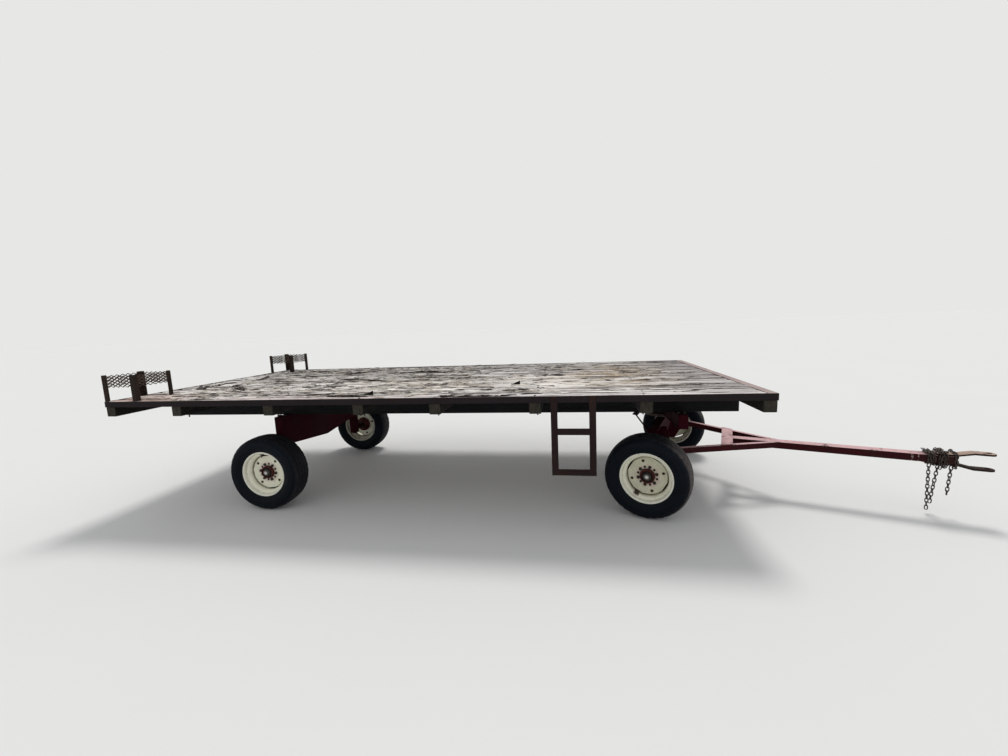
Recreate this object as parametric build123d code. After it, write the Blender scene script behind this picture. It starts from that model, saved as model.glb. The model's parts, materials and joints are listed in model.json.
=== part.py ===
from build123d import *
import math
import os

# Hay wagon: a flat plank deck on a four-wheel running gear whose whole front axle turns.
# Millimetres. +X runs forward along the wagon, +Y to its left, +Z up, and the floor is z = 0.
# The origin is on the floor below the middle of the wagon, its tongue included.

# Layout of the running gear
REAR_AXLE_X = -2300.0
WHEELBASE = 3713.0
TRACK = 1800.0
STEER_DEG = 19.7
KINGPIN_X = REAR_AXLE_X + WHEELBASE

# Deck
DECK_LENGTH = 5486.0
DECK_WIDTH = 2438.0
DECK_TOP_Z = 1078.0
REAR_OVERHANG = 1292.0
BOARD_COUNT = 10
BOARD_THICK = 46.0
BOARD_GAP = 7.0
BOARD_CLEAR = 1.0

# Angle iron rim of the deck
RAIL_LEG = 51.0
RAIL_THICK = 5.0
FRONT_FLANGE = 64.0

# Timbers below the deck. The cross members' places are from the deck's rear edge to their middles.
CROSS_SIZE = 89.0
CROSS_INSET = 3.0
CROSS_PLACES = (722.0, 1602.0, 2402.0, 3042.0, 3822.0, 4622.0)
SILL_WIDTH = 89.0
SILL_DEPTH = 130.0
SILL_SPREAD = 1090.0

# Rear beam and front bolster
BEAM_THICK = 80.0
BEAM_SPAN = 1440.0
REAR_BEAM_MID_Z = 458.0
REAR_BEAM_END_Z = 536.0
BOLSTER_DEPTH = 120.0

# Reach between the two
REACH_SIZE = 90.0
REACH_RISE = 10.0
SOCKET_WALL = 8.0
SOCKET_LENGTH = 170.0
SOCKET_CLEAR = 0.3
REACH_PIN_RADIUS = 11.0
REACH_PIN_END = 12.0

# Turntable and kingpin
TURNTABLE_RADIUS = 175.0
TURNTABLE_PLATE = 12.0
TURNTABLE_GAP = 0.3
KINGPIN_RADIUS = 25.0
KINGPIN_HEAD_RADIUS = 42.0
KINGPIN_HEAD = 14.0
HEX_SIDES = 6
RUNNING_GAP = 0.05

# Turning front beam, from the kingpin: t is forward along the tongue and l to its left
FRONT_BEAM_SPAN = 1400.0
FRONT_BEAM_MID_Z = 493.0
FRONT_BEAM_END_Z = 548.0
CHEEK_THICK = 10.0
CHEEK_GAP = 110.0
CHEEK_MIDDLE = 575.0
CHEEK_TOP_GAP = 14.0
CHEEK_ROUND_SPINDLE = 31.0
CHEEK_NOSE = 33.0
CHEEK_CREST = 5.0
CHEEK_SHOULDER = 15.0
HINGE_PIN_END = 8.0

# Spindles and rear legs
SPINDLE_RADIUS = 24.0
LEG_WIDTH = 90.0
LEG_MIDDLE = 655.0
LEG_THICK = 70.0
LEG_BELOW = 50.0

# Wheels
TYRE_RADIUS = 343.0
TYRE_WIDTH = 232.0
SHOULDER_DROP = 25.0
SHOULDER_WIDTH = 30.0
RIM_WIDTH = 190.0
RIM_RADIUS = 211.0
RIM_LIP = 23.0
DISC_INSET = 75.0
DISC_THICK = 9.0
HUB_FLANGE_RADIUS = 92.0
HUB_FLANGE_THICK = 9.0
HUB_RADIUS = 59.0
HUB_NOSE = 26.0
HUB_TAIL = 62.0
CAP_RADIUS = 34.0
CAP_LENGTH = 15.0
CAP_DOME = 8.0
CAP_TOP_RADIUS = 17.0

# Tongue
HINGE_T = 100.0
HINGE_Z = 460.0
HINGE_PIN_RADIUS = 12.5
BARREL_RADIUS = 30.0
BARREL_CLEAR = 0.3
ARM_WIDTH = 40.0
ARM_DEPTH = 50.0
APEX_T = 1010.0
POLE_WIDTH = 95.0
POLE_DEPTH = 60.0
POLE_BACK_T = 545.0
POLE_FRONT_T = 2100.0
CROSS_PLATE_BACK_T = 520.0
CROSS_PLATE_FRONT_T = 612.0
CROSS_PLATE_THICK = 8.0

# Hitch at the tongue's end
STRAP_THICK = 14.0
STRAP_WIDTH = 76.0
STRAP_BACK_T = 1985.0
STRAP_SPREAD_T = 2190.0
STRAP_GAP = 105.0
PIN_HOLE_T = 2275.0
PIN_HOLE_RADIUS = 16.0

# Chains. A link is a closed ring of square wire.
LINK_PITCH = 29.0
LINK_WIRE = 7.0
LINK_INNER_WIDTH = 11.0
LINK_GAP = 0.3
LINK_TAPER = 0.7
WRAP_THICK = 9.0
WRAP_WIDTH = 24.0

# Hounds behind the front beam
SWAY_T = -235.0
SWAY_LENGTH = 400.0
SWAY_WIDTH = 50.0
SWAY_THICK = 12.0
SWAY_CLEAR = 5.0
HOUND_RADIUS = 7.0
HOUND_TOP_L = 185.0
HOUND_FOOT_L = 610.0
HOUND_FOOT_Z = 578.0

# Ladder on the right side
LADDER_X = 510.0
LADDER_WIDTH = 330.0
LADDER_FOOT_Z = 470.0
LADDER_BAR = 50.0
LADDER_THICK = 6.0
LADDER_LEG = 38.0
RUNG_HEIGHTS = (470.0, 783.0)
RUNG_DEPTH = 50.0

# Baskets at the rear corners
BASKET_LENGTH = 330.0
BASKET_WIDTH = 345.0
BASKET_HEIGHT = 234.0
BASKET_INSET = 4.0
POST_LEG = 40.0
POST_THICK = 5.0
MESH_HEIGHT = 100.0
MESH_DROP = 8.0
MESH_THICK = 4.0
MESH_GAP = 0.3
DIAMOND_LENGTH = 76.0
DIAMOND_HEIGHT = 37.0
DIAMOND_WEB = 5.0

# Places worked out from the sizes above
DECK_REAR_X = REAR_AXLE_X - REAR_OVERHANG
DECK_FRONT_X = DECK_REAR_X + DECK_LENGTH
HALF_DECK = DECK_WIDTH / 2
CROSS_TOP_Z = DECK_TOP_Z - BOARD_THICK
SILL_TOP_Z = CROSS_TOP_Z - CROSS_SIZE
BEAM_TOP_Z = SILL_TOP_Z - SILL_DEPTH
BOLSTER_LOW_Z = BEAM_TOP_Z - BOLSTER_DEPTH
UPPER_PLATE_LOW_Z = BOLSTER_LOW_Z - TURNTABLE_PLATE
LOWER_PLATE_TOP_Z = UPPER_PLATE_LOW_Z - TURNTABLE_GAP
FRONT_BEAM_TOP_Z = LOWER_PLATE_TOP_Z - TURNTABLE_PLATE
REACH_LOW_Z = BOLSTER_LOW_Z + REACH_RISE
REACH_MIDDLE_Z = REACH_LOW_Z + REACH_SIZE / 2
RAIL_LOW_Z = DECK_TOP_Z - RAIL_LEG
AXLE_Z = TYRE_RADIUS
POLE_TOP_Z = HINGE_Z + ARM_DEPTH / 2
HALF_BEAM = BEAM_THICK / 2
HUB_FACE = TRACK / 2 + RIM_WIDTH / 2 - DISC_INSET


def block(x, y, z):
    """A box from three pairs of lowest and highest coordinates."""
    size = (x[1] - x[0], y[1] - y[0], z[1] - z[0])
    return Pos((x[0] + x[1]) / 2, (y[0] + y[1]) / 2, (z[0] + z[1]) / 2) * Box(*size)


def rod(start, end, radius):
    """A round bar between two points."""
    axis = Vector(*end) - Vector(*start)
    middle = (Vector(*end) + Vector(*start)) / 2
    return Plane(origin=middle, z_dir=axis) * Cylinder(radius, axis.length)


def turned(shape):
    """Moves a shape from the front gear's own frame, t forward and l left, into the wagon's."""
    return Pos(KINGPIN_X, 0, 0) * Rot(0, 0, -STEER_DEG) * shape


def save(node, *solids):
    """Writes one node, as many separate solids or as one."""
    shapes = [solid for shape in solids for solid in shape.solids()]
    part = shapes[0] if len(shapes) == 1 else Compound(shapes)
    export_step(part, os.path.join("parts", node + ".step"))


def angle_rail(length):
    """An angle iron along X, its upright leg outside at -Y and the other leg inwards below."""
    upright = block((0, length), (0, RAIL_THICK), (RAIL_LOW_Z, DECK_TOP_Z))
    ledge = block((0, length), (0, RAIL_LEG), (RAIL_LOW_Z, RAIL_LOW_Z + RAIL_THICK))
    return upright + ledge


def side_rail(side):
    """The rim along one side of the deck; side is -1 for the right and 1 for the left."""
    rail = Pos(DECK_REAR_X, -HALF_DECK, 0) * angle_rail(DECK_LENGTH)
    return rail if side < 0 else mirror(rail, about=Plane.XZ)


def rear_rail(sides):
    """The rim across the rear, coped round the side rails."""
    rail = Pos(DECK_REAR_X, HALF_DECK, 0) * Rot(0, 0, -90) * angle_rail(DECK_WIDTH)
    return rail - sides


def front_rail(sides):
    """The rim across the front, whose flange covers the boards' ends from above."""
    front = DECK_FRONT_X
    upright = block((front - RAIL_THICK, front), (-HALF_DECK, HALF_DECK), (RAIL_LOW_Z, DECK_TOP_Z))
    flange_z = (DECK_TOP_Z - RAIL_THICK, DECK_TOP_Z)
    flange = block((front - FRONT_FLANGE, front), (-HALF_DECK, HALF_DECK), flange_z)
    return upright + flange - sides


def deck_boards():
    """The planks, lengthwise between the rails and up to the front flange."""
    x = (DECK_REAR_X + RAIL_THICK + BOARD_CLEAR, DECK_FRONT_X - FRONT_FLANGE - BOARD_CLEAR)
    room = DECK_WIDTH - 2 * (RAIL_THICK + BOARD_CLEAR)
    width = (room - (BOARD_COUNT - 1) * BOARD_GAP) / BOARD_COUNT
    boards = []
    for number in range(BOARD_COUNT):
        low = -room / 2 + number * (width + BOARD_GAP)
        boards.append(block(x, (low, low + width), (CROSS_TOP_Z, DECK_TOP_Z)))
    return boards


def cross_members():
    """The cross timbers, notched at their ends over the rim's ledge."""
    end_place = RAIL_THICK + CROSS_SIZE / 2
    places = (end_place, *CROSS_PLACES, DECK_LENGTH - end_place)
    half = HALF_DECK - CROSS_INSET
    ledge = RAIL_LEG + BOARD_CLEAR
    notch_z = (RAIL_LOW_Z, CROSS_TOP_Z)
    rim = block((DECK_REAR_X, DECK_FRONT_X), (-HALF_DECK, HALF_DECK), notch_z)
    rim -= block((DECK_REAR_X + ledge, DECK_FRONT_X), (ledge - HALF_DECK, HALF_DECK - ledge), notch_z)
    members = []
    for place in places:
        x = (DECK_REAR_X + place - CROSS_SIZE / 2, DECK_REAR_X + place + CROSS_SIZE / 2)
        members.append(block(x, (-half, half), (SILL_TOP_Z, CROSS_TOP_Z)) - rim)
    return members


def sill(side):
    """One of the two long timbers that carry the cross members."""
    y = side * SILL_SPREAD / 2
    x = (DECK_REAR_X + RAIL_THICK, DECK_FRONT_X - RAIL_THICK)
    return block(x, (y - SILL_WIDTH / 2, y + SILL_WIDTH / 2), (BEAM_TOP_Z, SILL_TOP_Z))


def beam(span, top_z, end_z, middle_z):
    """A deep beam across the wagon at x = 0, its lower edge a shallow V."""
    half = span / 2
    outline = Polyline(
        (-half, top_z),
        (-half, end_z),
        (0, middle_z),
        (half, end_z),
        (half, top_z),
        close=True,
    )
    return extrude(Plane.YZ * make_face(outline), HALF_BEAM, both=True)


def rear_beam():
    """The fixed beam over the rear wheels."""
    return Pos(REAR_AXLE_X, 0, 0) * beam(BEAM_SPAN, BEAM_TOP_Z, REAR_BEAM_END_Z, REAR_BEAM_MID_Z)


def rear_legs(carrier):
    """The two legs from the rear beam down to the spindles."""
    legs = []
    for side in (-1, 1):
        y = side * LEG_MIDDLE
        x = (REAR_AXLE_X - LEG_THICK / 2, REAR_AXLE_X + LEG_THICK / 2)
        z = (AXLE_Z - LEG_BELOW, REAR_BEAM_END_Z + LEG_WIDTH)
        legs.append(block(x, (y - LEG_WIDTH / 2, y + LEG_WIDTH / 2), z) - carrier)
    return legs


def front_bolster():
    """The fixed cross beam that the kingpin hangs in."""
    x = (KINGPIN_X - HALF_BEAM, KINGPIN_X + HALF_BEAM)
    bolster = block(x, (-BEAM_SPAN / 2, BEAM_SPAN / 2), (BOLSTER_LOW_Z, BEAM_TOP_Z))
    return bolster - Pos(KINGPIN_X, 0, BEAM_TOP_Z) * Cylinder(KINGPIN_RADIUS, 3 * BOLSTER_DEPTH)


def turntable_plate(low_z, radius, hole):
    """A round bearing plate at the kingpin."""
    plate = Cylinder(radius, TURNTABLE_PLATE) - Cylinder(hole, 2 * TURNTABLE_PLATE)
    return Pos(KINGPIN_X, 0, low_z + TURNTABLE_PLATE / 2) * plate


def kingpin():
    """The pin, its hexagon head on the bolster and its nut below the turning beam."""
    nut_top = FRONT_BEAM_MID_Z - TURNTABLE_GAP
    hexagon = extrude(RegularPolygon(KINGPIN_HEAD_RADIUS, HEX_SIDES), KINGPIN_HEAD)
    shaft = rod((0, 0, nut_top - KINGPIN_HEAD), (0, 0, BEAM_TOP_Z + KINGPIN_HEAD), KINGPIN_RADIUS)
    pin = shaft + Pos(0, 0, nut_top - KINGPIN_HEAD) * hexagon + Pos(0, 0, BEAM_TOP_Z) * hexagon
    return Pos(KINGPIN_X, 0, 0) * pin


def reach():
    """The pole between the rear socket and the front bolster."""
    half = REACH_SIZE / 2
    x = (REAR_AXLE_X + HALF_BEAM, KINGPIN_X - HALF_BEAM)
    bar = block(x, (-half, half), (REACH_LOW_Z, REACH_LOW_Z + REACH_SIZE))
    return bar - reach_pin_shaft()


def reach_sockets():
    """A square sleeve round each end of the reach, with a hole for its pin in the rear one."""
    inner = REACH_SIZE / 2 + SOCKET_CLEAR
    outer = inner + SOCKET_WALL
    z = REACH_MIDDLE_Z
    sleeves = []
    for start, way in ((REAR_AXLE_X + HALF_BEAM, 1), (KINGPIN_X - HALF_BEAM, -1)):
        x = sorted((start, start + way * SOCKET_LENGTH))
        sleeve = block(x, (-outer, outer), (z - outer, z + outer))
        sleeve -= block(x, (-inner, inner), (z - inner, z + inner))
        sleeves.append(sleeve - reach_pin_shaft())
    return sleeves


def reach_pin_shaft():
    """The hole of the reach pin, and its shaft."""
    half = REACH_SIZE / 2 + SOCKET_CLEAR + SOCKET_WALL + REACH_PIN_END
    x = REAR_AXLE_X + HALF_BEAM + SOCKET_LENGTH / 2
    return rod((x, -half, REACH_MIDDLE_Z), (x, half, REACH_MIDDLE_Z), REACH_PIN_RADIUS)


def front_beam():
    """The beam that turns below the bolster, bored for the kingpin, in the front gear's frame."""
    shape = beam(FRONT_BEAM_SPAN, FRONT_BEAM_TOP_Z, FRONT_BEAM_END_Z, FRONT_BEAM_MID_Z)
    return shape - Pos(0, 0, FRONT_BEAM_TOP_Z) * Cylinder(KINGPIN_RADIUS + RUNNING_GAP, BEAM_TOP_Z)


def cheeks(carrier):
    """Four tapered plates, two a side, that hold a spindle and a hinge pin between them."""
    top = UPPER_PLATE_LOW_Z - CHEEK_TOP_GAP
    nose = HINGE_T + CHEEK_NOSE
    back = SPINDLE_RADIUS + CHEEK_ROUND_SPINDLE
    outline = Polyline(
        (-back, AXLE_Z - back),
        (back, AXLE_Z - back),
        (nose, HINGE_Z - BARREL_RADIUS),
        (nose, HINGE_Z + BARREL_RADIUS),
        (HINGE_T - CHEEK_CREST, top),
        (HALF_BEAM + CHEEK_SHOULDER, top),
        (-back, FRONT_BEAM_MID_Z),
        close=True,
    )
    plates = []
    for side in (-1, 1):
        for place in (CHEEK_MIDDLE - CHEEK_GAP / 2 - CHEEK_THICK, CHEEK_MIDDLE + CHEEK_GAP / 2):
            ends = (side * place, side * (place + CHEEK_THICK))
            high = max(ends)
            plate = Pos(0, high, 0) * extrude(Plane.XZ * make_face(outline), CHEEK_THICK)
            plate -= rod((0, ends[0], AXLE_Z), (0, ends[1], AXLE_Z), SPINDLE_RADIUS)
            plate -= rod((HINGE_T, ends[0], HINGE_Z), (HINGE_T, ends[1], HINGE_Z), HINGE_PIN_RADIUS)
            plates.append(plate - carrier)
    return plates


def spindle(side, inner):
    """A spindle from its leg out into the hub."""
    return rod((0, side * inner, AXLE_Z), (0, side * HUB_FACE, AXLE_Z), SPINDLE_RADIUS)


def hinge_pins():
    """The pins that the tongue's arms swing on."""
    pins = []
    for side in (-1, 1):
        reach_l = CHEEK_GAP / 2 + CHEEK_THICK + HINGE_PIN_END
        ends = (side * (CHEEK_MIDDLE - reach_l), side * (CHEEK_MIDDLE + reach_l))
        pins.append(rod((HINGE_T, ends[0], HINGE_Z), (HINGE_T, ends[1], HINGE_Z), HINGE_PIN_RADIUS))
    return pins


def sway_bar():
    """The flat bar that slides below the reach."""
    top = REACH_LOW_Z - SOCKET_CLEAR - SOCKET_WALL - SWAY_CLEAR
    return block(
        (SWAY_T - SWAY_WIDTH / 2, SWAY_T + SWAY_WIDTH / 2),
        (-SWAY_LENGTH / 2, SWAY_LENGTH / 2),
        (top - SWAY_THICK, top),
    )


def hound_rods(bar, carrier):
    """The two braces from the sway bar to the ends of the front beam."""
    z = bar.bounding_box().min.Z + SWAY_THICK / 2
    rods = []
    for side in (-1, 1):
        brace = rod((SWAY_T, side * HOUND_TOP_L, z), (0, side * HOUND_FOOT_L, HOUND_FOOT_Z), HOUND_RADIUS)
        rods.append(max((brace - bar - carrier).solids(), key=lambda solid: solid.volume))
    return rods


def spun(profile, side=1):
    """A ring or wheel about the Y axis from points of radius and y; side is -1 to mirror it."""
    shape = revolve(Plane.XY * make_face(Polyline(*profile, close=True)), Axis.Y)
    return shape if side > 0 else mirror(shape, about=Plane.XZ)


def tyre():
    """A tyre with sloped shoulders, on the rim's outer face."""
    half = TYRE_WIDTH / 2
    shoulder = TYRE_RADIUS - SHOULDER_DROP
    profile = (
        (RIM_RADIUS, -half),
        (shoulder, -half),
        (TYRE_RADIUS, -half + SHOULDER_WIDTH),
        (TYRE_RADIUS, half - SHOULDER_WIDTH),
        (shoulder, half),
        (RIM_RADIUS, half),
    )
    return spun(profile)


def rim(side):
    """A steel rim and its disc; side says which way its outer face looks."""
    half = RIM_WIDTH / 2
    inner = RIM_RADIUS - RIM_LIP
    face = half - DISC_INSET
    back = face - DISC_THICK
    profile = (
        (RIM_RADIUS, half),
        (RIM_RADIUS, -half),
        (inner, -half),
        (inner, back),
        (HUB_RADIUS, back),
        (HUB_RADIUS, face),
        (inner, face),
        (inner, half),
    )
    return spun(profile, side)


def hub(side):
    """A hub, its flange behind the disc and a domed cap on its nose, bored for the spindle."""
    face = RIM_WIDTH / 2 - DISC_INSET
    back = face - DISC_THICK
    nose = face + HUB_NOSE
    cap = nose + CAP_LENGTH
    bore = SPINDLE_RADIUS + RUNNING_GAP
    profile = (
        (bore, back - HUB_TAIL),
        (HUB_RADIUS, back - HUB_TAIL),
        (HUB_RADIUS, back - HUB_FLANGE_THICK),
        (HUB_FLANGE_RADIUS, back - HUB_FLANGE_THICK),
        (HUB_FLANGE_RADIUS, back),
        (HUB_RADIUS, back),
        (HUB_RADIUS, nose),
        (CAP_RADIUS, nose),
        (CAP_RADIUS, cap - CAP_DOME),
        (CAP_TOP_RADIUS, cap),
        (0, cap),
        (0, face + RUNNING_GAP),
        (bore, face + RUNNING_GAP),
    )
    return spun(profile, side)


def tongue_arm(side):
    """An arm from its hinge barrel to the pole's side, in the front gear's frame."""
    start = Vector(HINGE_T, side * CHEEK_MIDDLE)
    end = Vector(APEX_T, 0)
    length = (end - start).length
    heading = math.degrees(math.atan2(end.Y - start.Y, end.X - start.X))
    bar = block((0, length), (-ARM_WIDTH / 2, ARM_WIDTH / 2), (POLE_TOP_Z - ARM_DEPTH, POLE_TOP_Z))
    bar = Pos(start.X, start.Y, 0) * Rot(0, 0, heading) * bar
    beyond_side = sorted((side * POLE_WIDTH / 2, -side * POLE_WIDTH))
    bar -= block((0, 2 * APEX_T), beyond_side, (0, DECK_TOP_Z))
    reach_l = CHEEK_GAP / 2 - BARREL_CLEAR
    ends = [(HINGE_T, start.Y + way * reach_l, HINGE_Z) for way in (-1, 1)]
    bore_ends = [(HINGE_T, start.Y + way * CHEEK_GAP, HINGE_Z) for way in (-1, 1)]
    return bar + rod(*ends, BARREL_RADIUS) - rod(*bore_ends, HINGE_PIN_RADIUS + RUNNING_GAP)


def tongue_pole():
    """The pole from the cross plate to the hitch."""
    x = (POLE_BACK_T, POLE_FRONT_T)
    return block(x, (-POLE_WIDTH / 2, POLE_WIDTH / 2), (POLE_TOP_Z - POLE_DEPTH, POLE_TOP_Z))


def cross_plate():
    """The plate across the two arms, on top of the pole's rear end."""
    slope = CHEEK_MIDDLE / (APEX_T - HINGE_T)
    along = ARM_WIDTH / 2 * math.hypot(1, slope)
    half = [slope * (APEX_T - t) + along for t in (CROSS_PLATE_BACK_T, CROSS_PLATE_FRONT_T)]
    outline = Polyline(
        (CROSS_PLATE_BACK_T, -half[0]),
        (CROSS_PLATE_FRONT_T, -half[1]),
        (CROSS_PLATE_FRONT_T, half[1]),
        (CROSS_PLATE_BACK_T, half[0]),
        close=True,
    )
    return Pos(0, 0, POLE_TOP_Z) * extrude(make_face(outline), CROSS_PLATE_THICK)


def hitch_straps():
    """The two bent straps on and below the pole's end, bored for the hitch pin."""
    middle = POLE_TOP_Z - POLE_DEPTH / 2
    nose = PIN_HOLE_T + STRAP_WIDTH / 2
    low = POLE_DEPTH / 2
    far = STRAP_GAP / 2
    outline = Polyline(
        (STRAP_BACK_T, low),
        (POLE_FRONT_T, low),
        (STRAP_SPREAD_T, far),
        (nose, far),
        (nose, far + STRAP_THICK),
        (STRAP_SPREAD_T, far + STRAP_THICK),
        (POLE_FRONT_T, low + STRAP_THICK),
        (STRAP_BACK_T, low + STRAP_THICK),
        close=True,
    )
    strap = extrude(Plane.XZ * make_face(outline), STRAP_WIDTH / 2, both=True)
    round_end = Pos(PIN_HOLE_T, 0, 0) * Cylinder(STRAP_WIDTH / 2, 4 * STRAP_GAP)
    square_end = block((PIN_HOLE_T, 2 * nose), (-STRAP_WIDTH, STRAP_WIDTH), (-STRAP_GAP, STRAP_GAP))
    strap -= square_end - round_end
    strap -= Pos(PIN_HOLE_T, 0, 0) * Cylinder(PIN_HOLE_RADIUS, 4 * STRAP_GAP)
    return [Pos(0, 0, middle) * shape for shape in (strap, mirror(strap, about=Plane.XY))]


def wrapped_depth(t):
    """The lowest and highest z of what a chain wraps round at t: the pole, or pole and straps."""
    straps = STRAP_THICK if t > STRAP_BACK_T else 0
    return POLE_TOP_Z - POLE_DEPTH - straps, POLE_TOP_Z + straps


def chain_wrap(t):
    """A band round the pole where a chain is wrapped round it."""
    half = POLE_WIDTH / 2
    low, high = wrapped_depth(t)
    x = (t - WRAP_WIDTH / 2, t + WRAP_WIDTH / 2)
    band = block(x, (-half - WRAP_THICK, half + WRAP_THICK), (low - WRAP_THICK, high + WRAP_THICK))
    return band - block(x, (-half, half), (low, high))


def chain_link():
    """One link in the XZ plane, its long way down Z and its middle at the origin."""
    width = LINK_INNER_WIDTH / 2
    length = LINK_PITCH / 2
    wire = LINK_WIRE

    def ring(half_width, half_length):
        straight = half_length - half_width * LINK_TAPER
        outline = Polyline(
            (half_width, -straight),
            (half_width, straight),
            (0, half_length),
            (-half_width, straight),
            (-half_width, -straight),
            (0, -half_length),
            close=True,
        )
        return make_face(outline)

    flat = ring(width + wire, length + wire) - ring(width, length)
    return extrude(Plane.XZ * flat, wire / 2, both=True)


def chain(t, l, count, lean_deg):
    """Links that hang from a wrap at t, each a quarter turn from the last."""
    hanging = Pos(t, l, wrapped_depth(t)[0] - WRAP_THICK - LINK_GAP) * Rot(0, lean_deg, 0)
    links = []
    for number in range(count):
        drop = -LINK_PITCH / 2 - LINK_WIRE - number * (LINK_PITCH - LINK_GAP)
        links.append(hanging * Pos(0, 0, drop) * Rot(0, 0, 90 * (number % 2)) * chain_link())
    return links


def ladder():
    """The ladder outside the right-hand deck rail, two angle iron rails with rungs between."""
    face = -HALF_DECK
    outer = face - LADDER_THICK
    x = (LADDER_X - LADDER_WIDTH / 2, LADDER_X + LADDER_WIDTH / 2)
    pieces = []
    for edge, way in ((x[0], 1), (x[1], -1)):
        bar_x = sorted((edge, edge + way * LADDER_BAR))
        fin_x = sorted((edge, edge + way * LADDER_THICK))
        pieces.append(block(bar_x, (outer, face), (LADDER_FOOT_Z, DECK_TOP_Z)))
        pieces.append(block(fin_x, (face, face + LADDER_LEG), (LADDER_FOOT_Z, SILL_TOP_Z)))
    rung_x = (x[0] + LADDER_BAR, x[1] - LADDER_BAR)
    for z in RUNG_HEIGHTS:
        pieces.append(block(rung_x, (outer, face), (z, z + LADDER_BAR)))
        pieces.append(block(rung_x, (outer, outer + RUNG_DEPTH), (z, z + LADDER_THICK)))
    return pieces[0] + pieces[1:]


def basket_corner(side):
    """The lowest corner of a basket's footprint, on the deck at a rear corner."""
    x = DECK_REAR_X + BASKET_INSET
    y = HALF_DECK - BASKET_INSET - BASKET_WIDTH if side > 0 else -HALF_DECK + BASKET_INSET
    return x, y


def basket_posts(side):
    """Four angle iron posts with their legs along the basket's sides."""
    x, y = basket_corner(side)
    z = (DECK_TOP_Z, DECK_TOP_Z + BASKET_HEIGHT)
    posts = []
    for end_x, way_x in ((x, POST_LEG), (x + BASKET_LENGTH, -POST_LEG)):
        for end_y, way_y in ((y, POST_LEG), (y + BASKET_WIDTH, -POST_LEG)):
            post = block(sorted((end_x, end_x + way_x)), sorted((end_y, end_y + way_y)), z)
            inside = Pos(math.copysign(POST_THICK, way_x), math.copysign(POST_THICK, way_y), 0)
            posts.append(post - inside * post)
    return posts


def mesh_panel(length):
    """A panel of expanded metal along X, standing on Z from 0 to its height."""
    panel = block((0, length), (0, MESH_THICK), (0, MESH_HEIGHT))
    half = (DIAMOND_LENGTH / 2 - DIAMOND_WEB, DIAMOND_HEIGHT / 2 - DIAMOND_WEB / 2)
    outline = Polyline((-half[0], 0), (0, -half[1]), (half[0], 0), (0, half[1]), close=True)
    hole = extrude(Plane.XZ * make_face(outline), 2 * MESH_THICK, both=True)
    columns = math.floor((length - 2 * DIAMOND_WEB) / DIAMOND_LENGTH * 2)
    rows = math.floor(MESH_HEIGHT / DIAMOND_HEIGHT * 2)
    holes = []
    for column in range(columns - 1):
        for row in range(rows - 1):
            if (column + row) % 2 == 0:
                x = length / 2 + (column - (columns - 2) / 2) * DIAMOND_LENGTH / 2
                z = MESH_HEIGHT / 2 + (row - (rows - 2) / 2) * DIAMOND_HEIGHT / 2
                holes.append(Pos(x, 0, z) * hole)
    return panel - holes


def basket_mesh(side):
    """The four panels inside the posts' legs."""
    x, y = basket_corner(side)
    inset = POST_THICK + MESH_GAP
    low = DECK_TOP_Z + BASKET_HEIGHT - MESH_DROP - MESH_HEIGHT
    long_side = BASKET_LENGTH - 2 * (inset + MESH_THICK + MESH_GAP)
    short_side = BASKET_WIDTH - 2 * inset
    start = inset + MESH_THICK + MESH_GAP
    return [
        Pos(x + start, y + inset, low) * mesh_panel(long_side),
        Pos(x + start, y + BASKET_WIDTH - inset - MESH_THICK, low) * mesh_panel(long_side),
        Pos(x + inset + MESH_THICK, y + inset, low) * Rot(0, 0, 90) * mesh_panel(short_side),
        Pos(x + BASKET_LENGTH - inset, y + inset, low) * Rot(0, 0, 90) * mesh_panel(short_side),
    ]


def write_deck():
    """The deck, its rim and timbers, the ladder and the baskets."""
    right = side_rail(-1)
    left = side_rail(1)
    sides = right + left
    save("rail_right", right)
    save("rail_left", left)
    save("rail_rear", rear_rail(sides))
    save("rail_front", front_rail(sides))
    save("deck_boards", *deck_boards())
    save("cross_members", *cross_members())
    save("sills", sill(-1), sill(1))
    save("ladder", ladder())
    for side, name in ((-1, "right"), (1, "left")):
        save("basket_posts_" + name, *basket_posts(side))
        save("basket_mesh_" + name, *basket_mesh(side))


def write_fixed_gear():
    """The rear beam, the reach and the front bolster."""
    carrier = rear_beam()
    save("rear_beam", carrier)
    save("rear_legs", *rear_legs(carrier))
    inner = LEG_MIDDLE + LEG_WIDTH / 2
    save("rear_spindles", *(Pos(REAR_AXLE_X, 0, 0) * spindle(side, inner) for side in (-1, 1)))
    save("front_bolster", front_bolster())
    save("turntable_upper", turntable_plate(UPPER_PLATE_LOW_Z, TURNTABLE_RADIUS, KINGPIN_RADIUS))
    save("kingpin", kingpin())
    save("reach", reach())
    save("reach_sockets", *reach_sockets())
    save("reach_pin", reach_pin_shaft())


def write_front_gear():
    """What turns on the kingpin."""
    carrier = front_beam()
    bar = sway_bar()
    lower_low = LOWER_PLATE_TOP_Z - TURNTABLE_PLATE
    save("front_beam", turned(carrier))
    save("turntable_lower", turntable_plate(lower_low, TURNTABLE_RADIUS, KINGPIN_RADIUS + RUNNING_GAP))
    save("front_cheeks", *(turned(plate) for plate in cheeks(carrier)))
    inner = CHEEK_MIDDLE - CHEEK_GAP / 2 - CHEEK_THICK
    save("front_spindles", *(turned(spindle(side, inner)) for side in (-1, 1)))
    save("hinge_pins", *(turned(pin) for pin in hinge_pins()))
    save("sway_bar", turned(bar))
    save("hound_rods", *(turned(brace) for brace in hound_rods(bar, carrier)))


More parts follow.
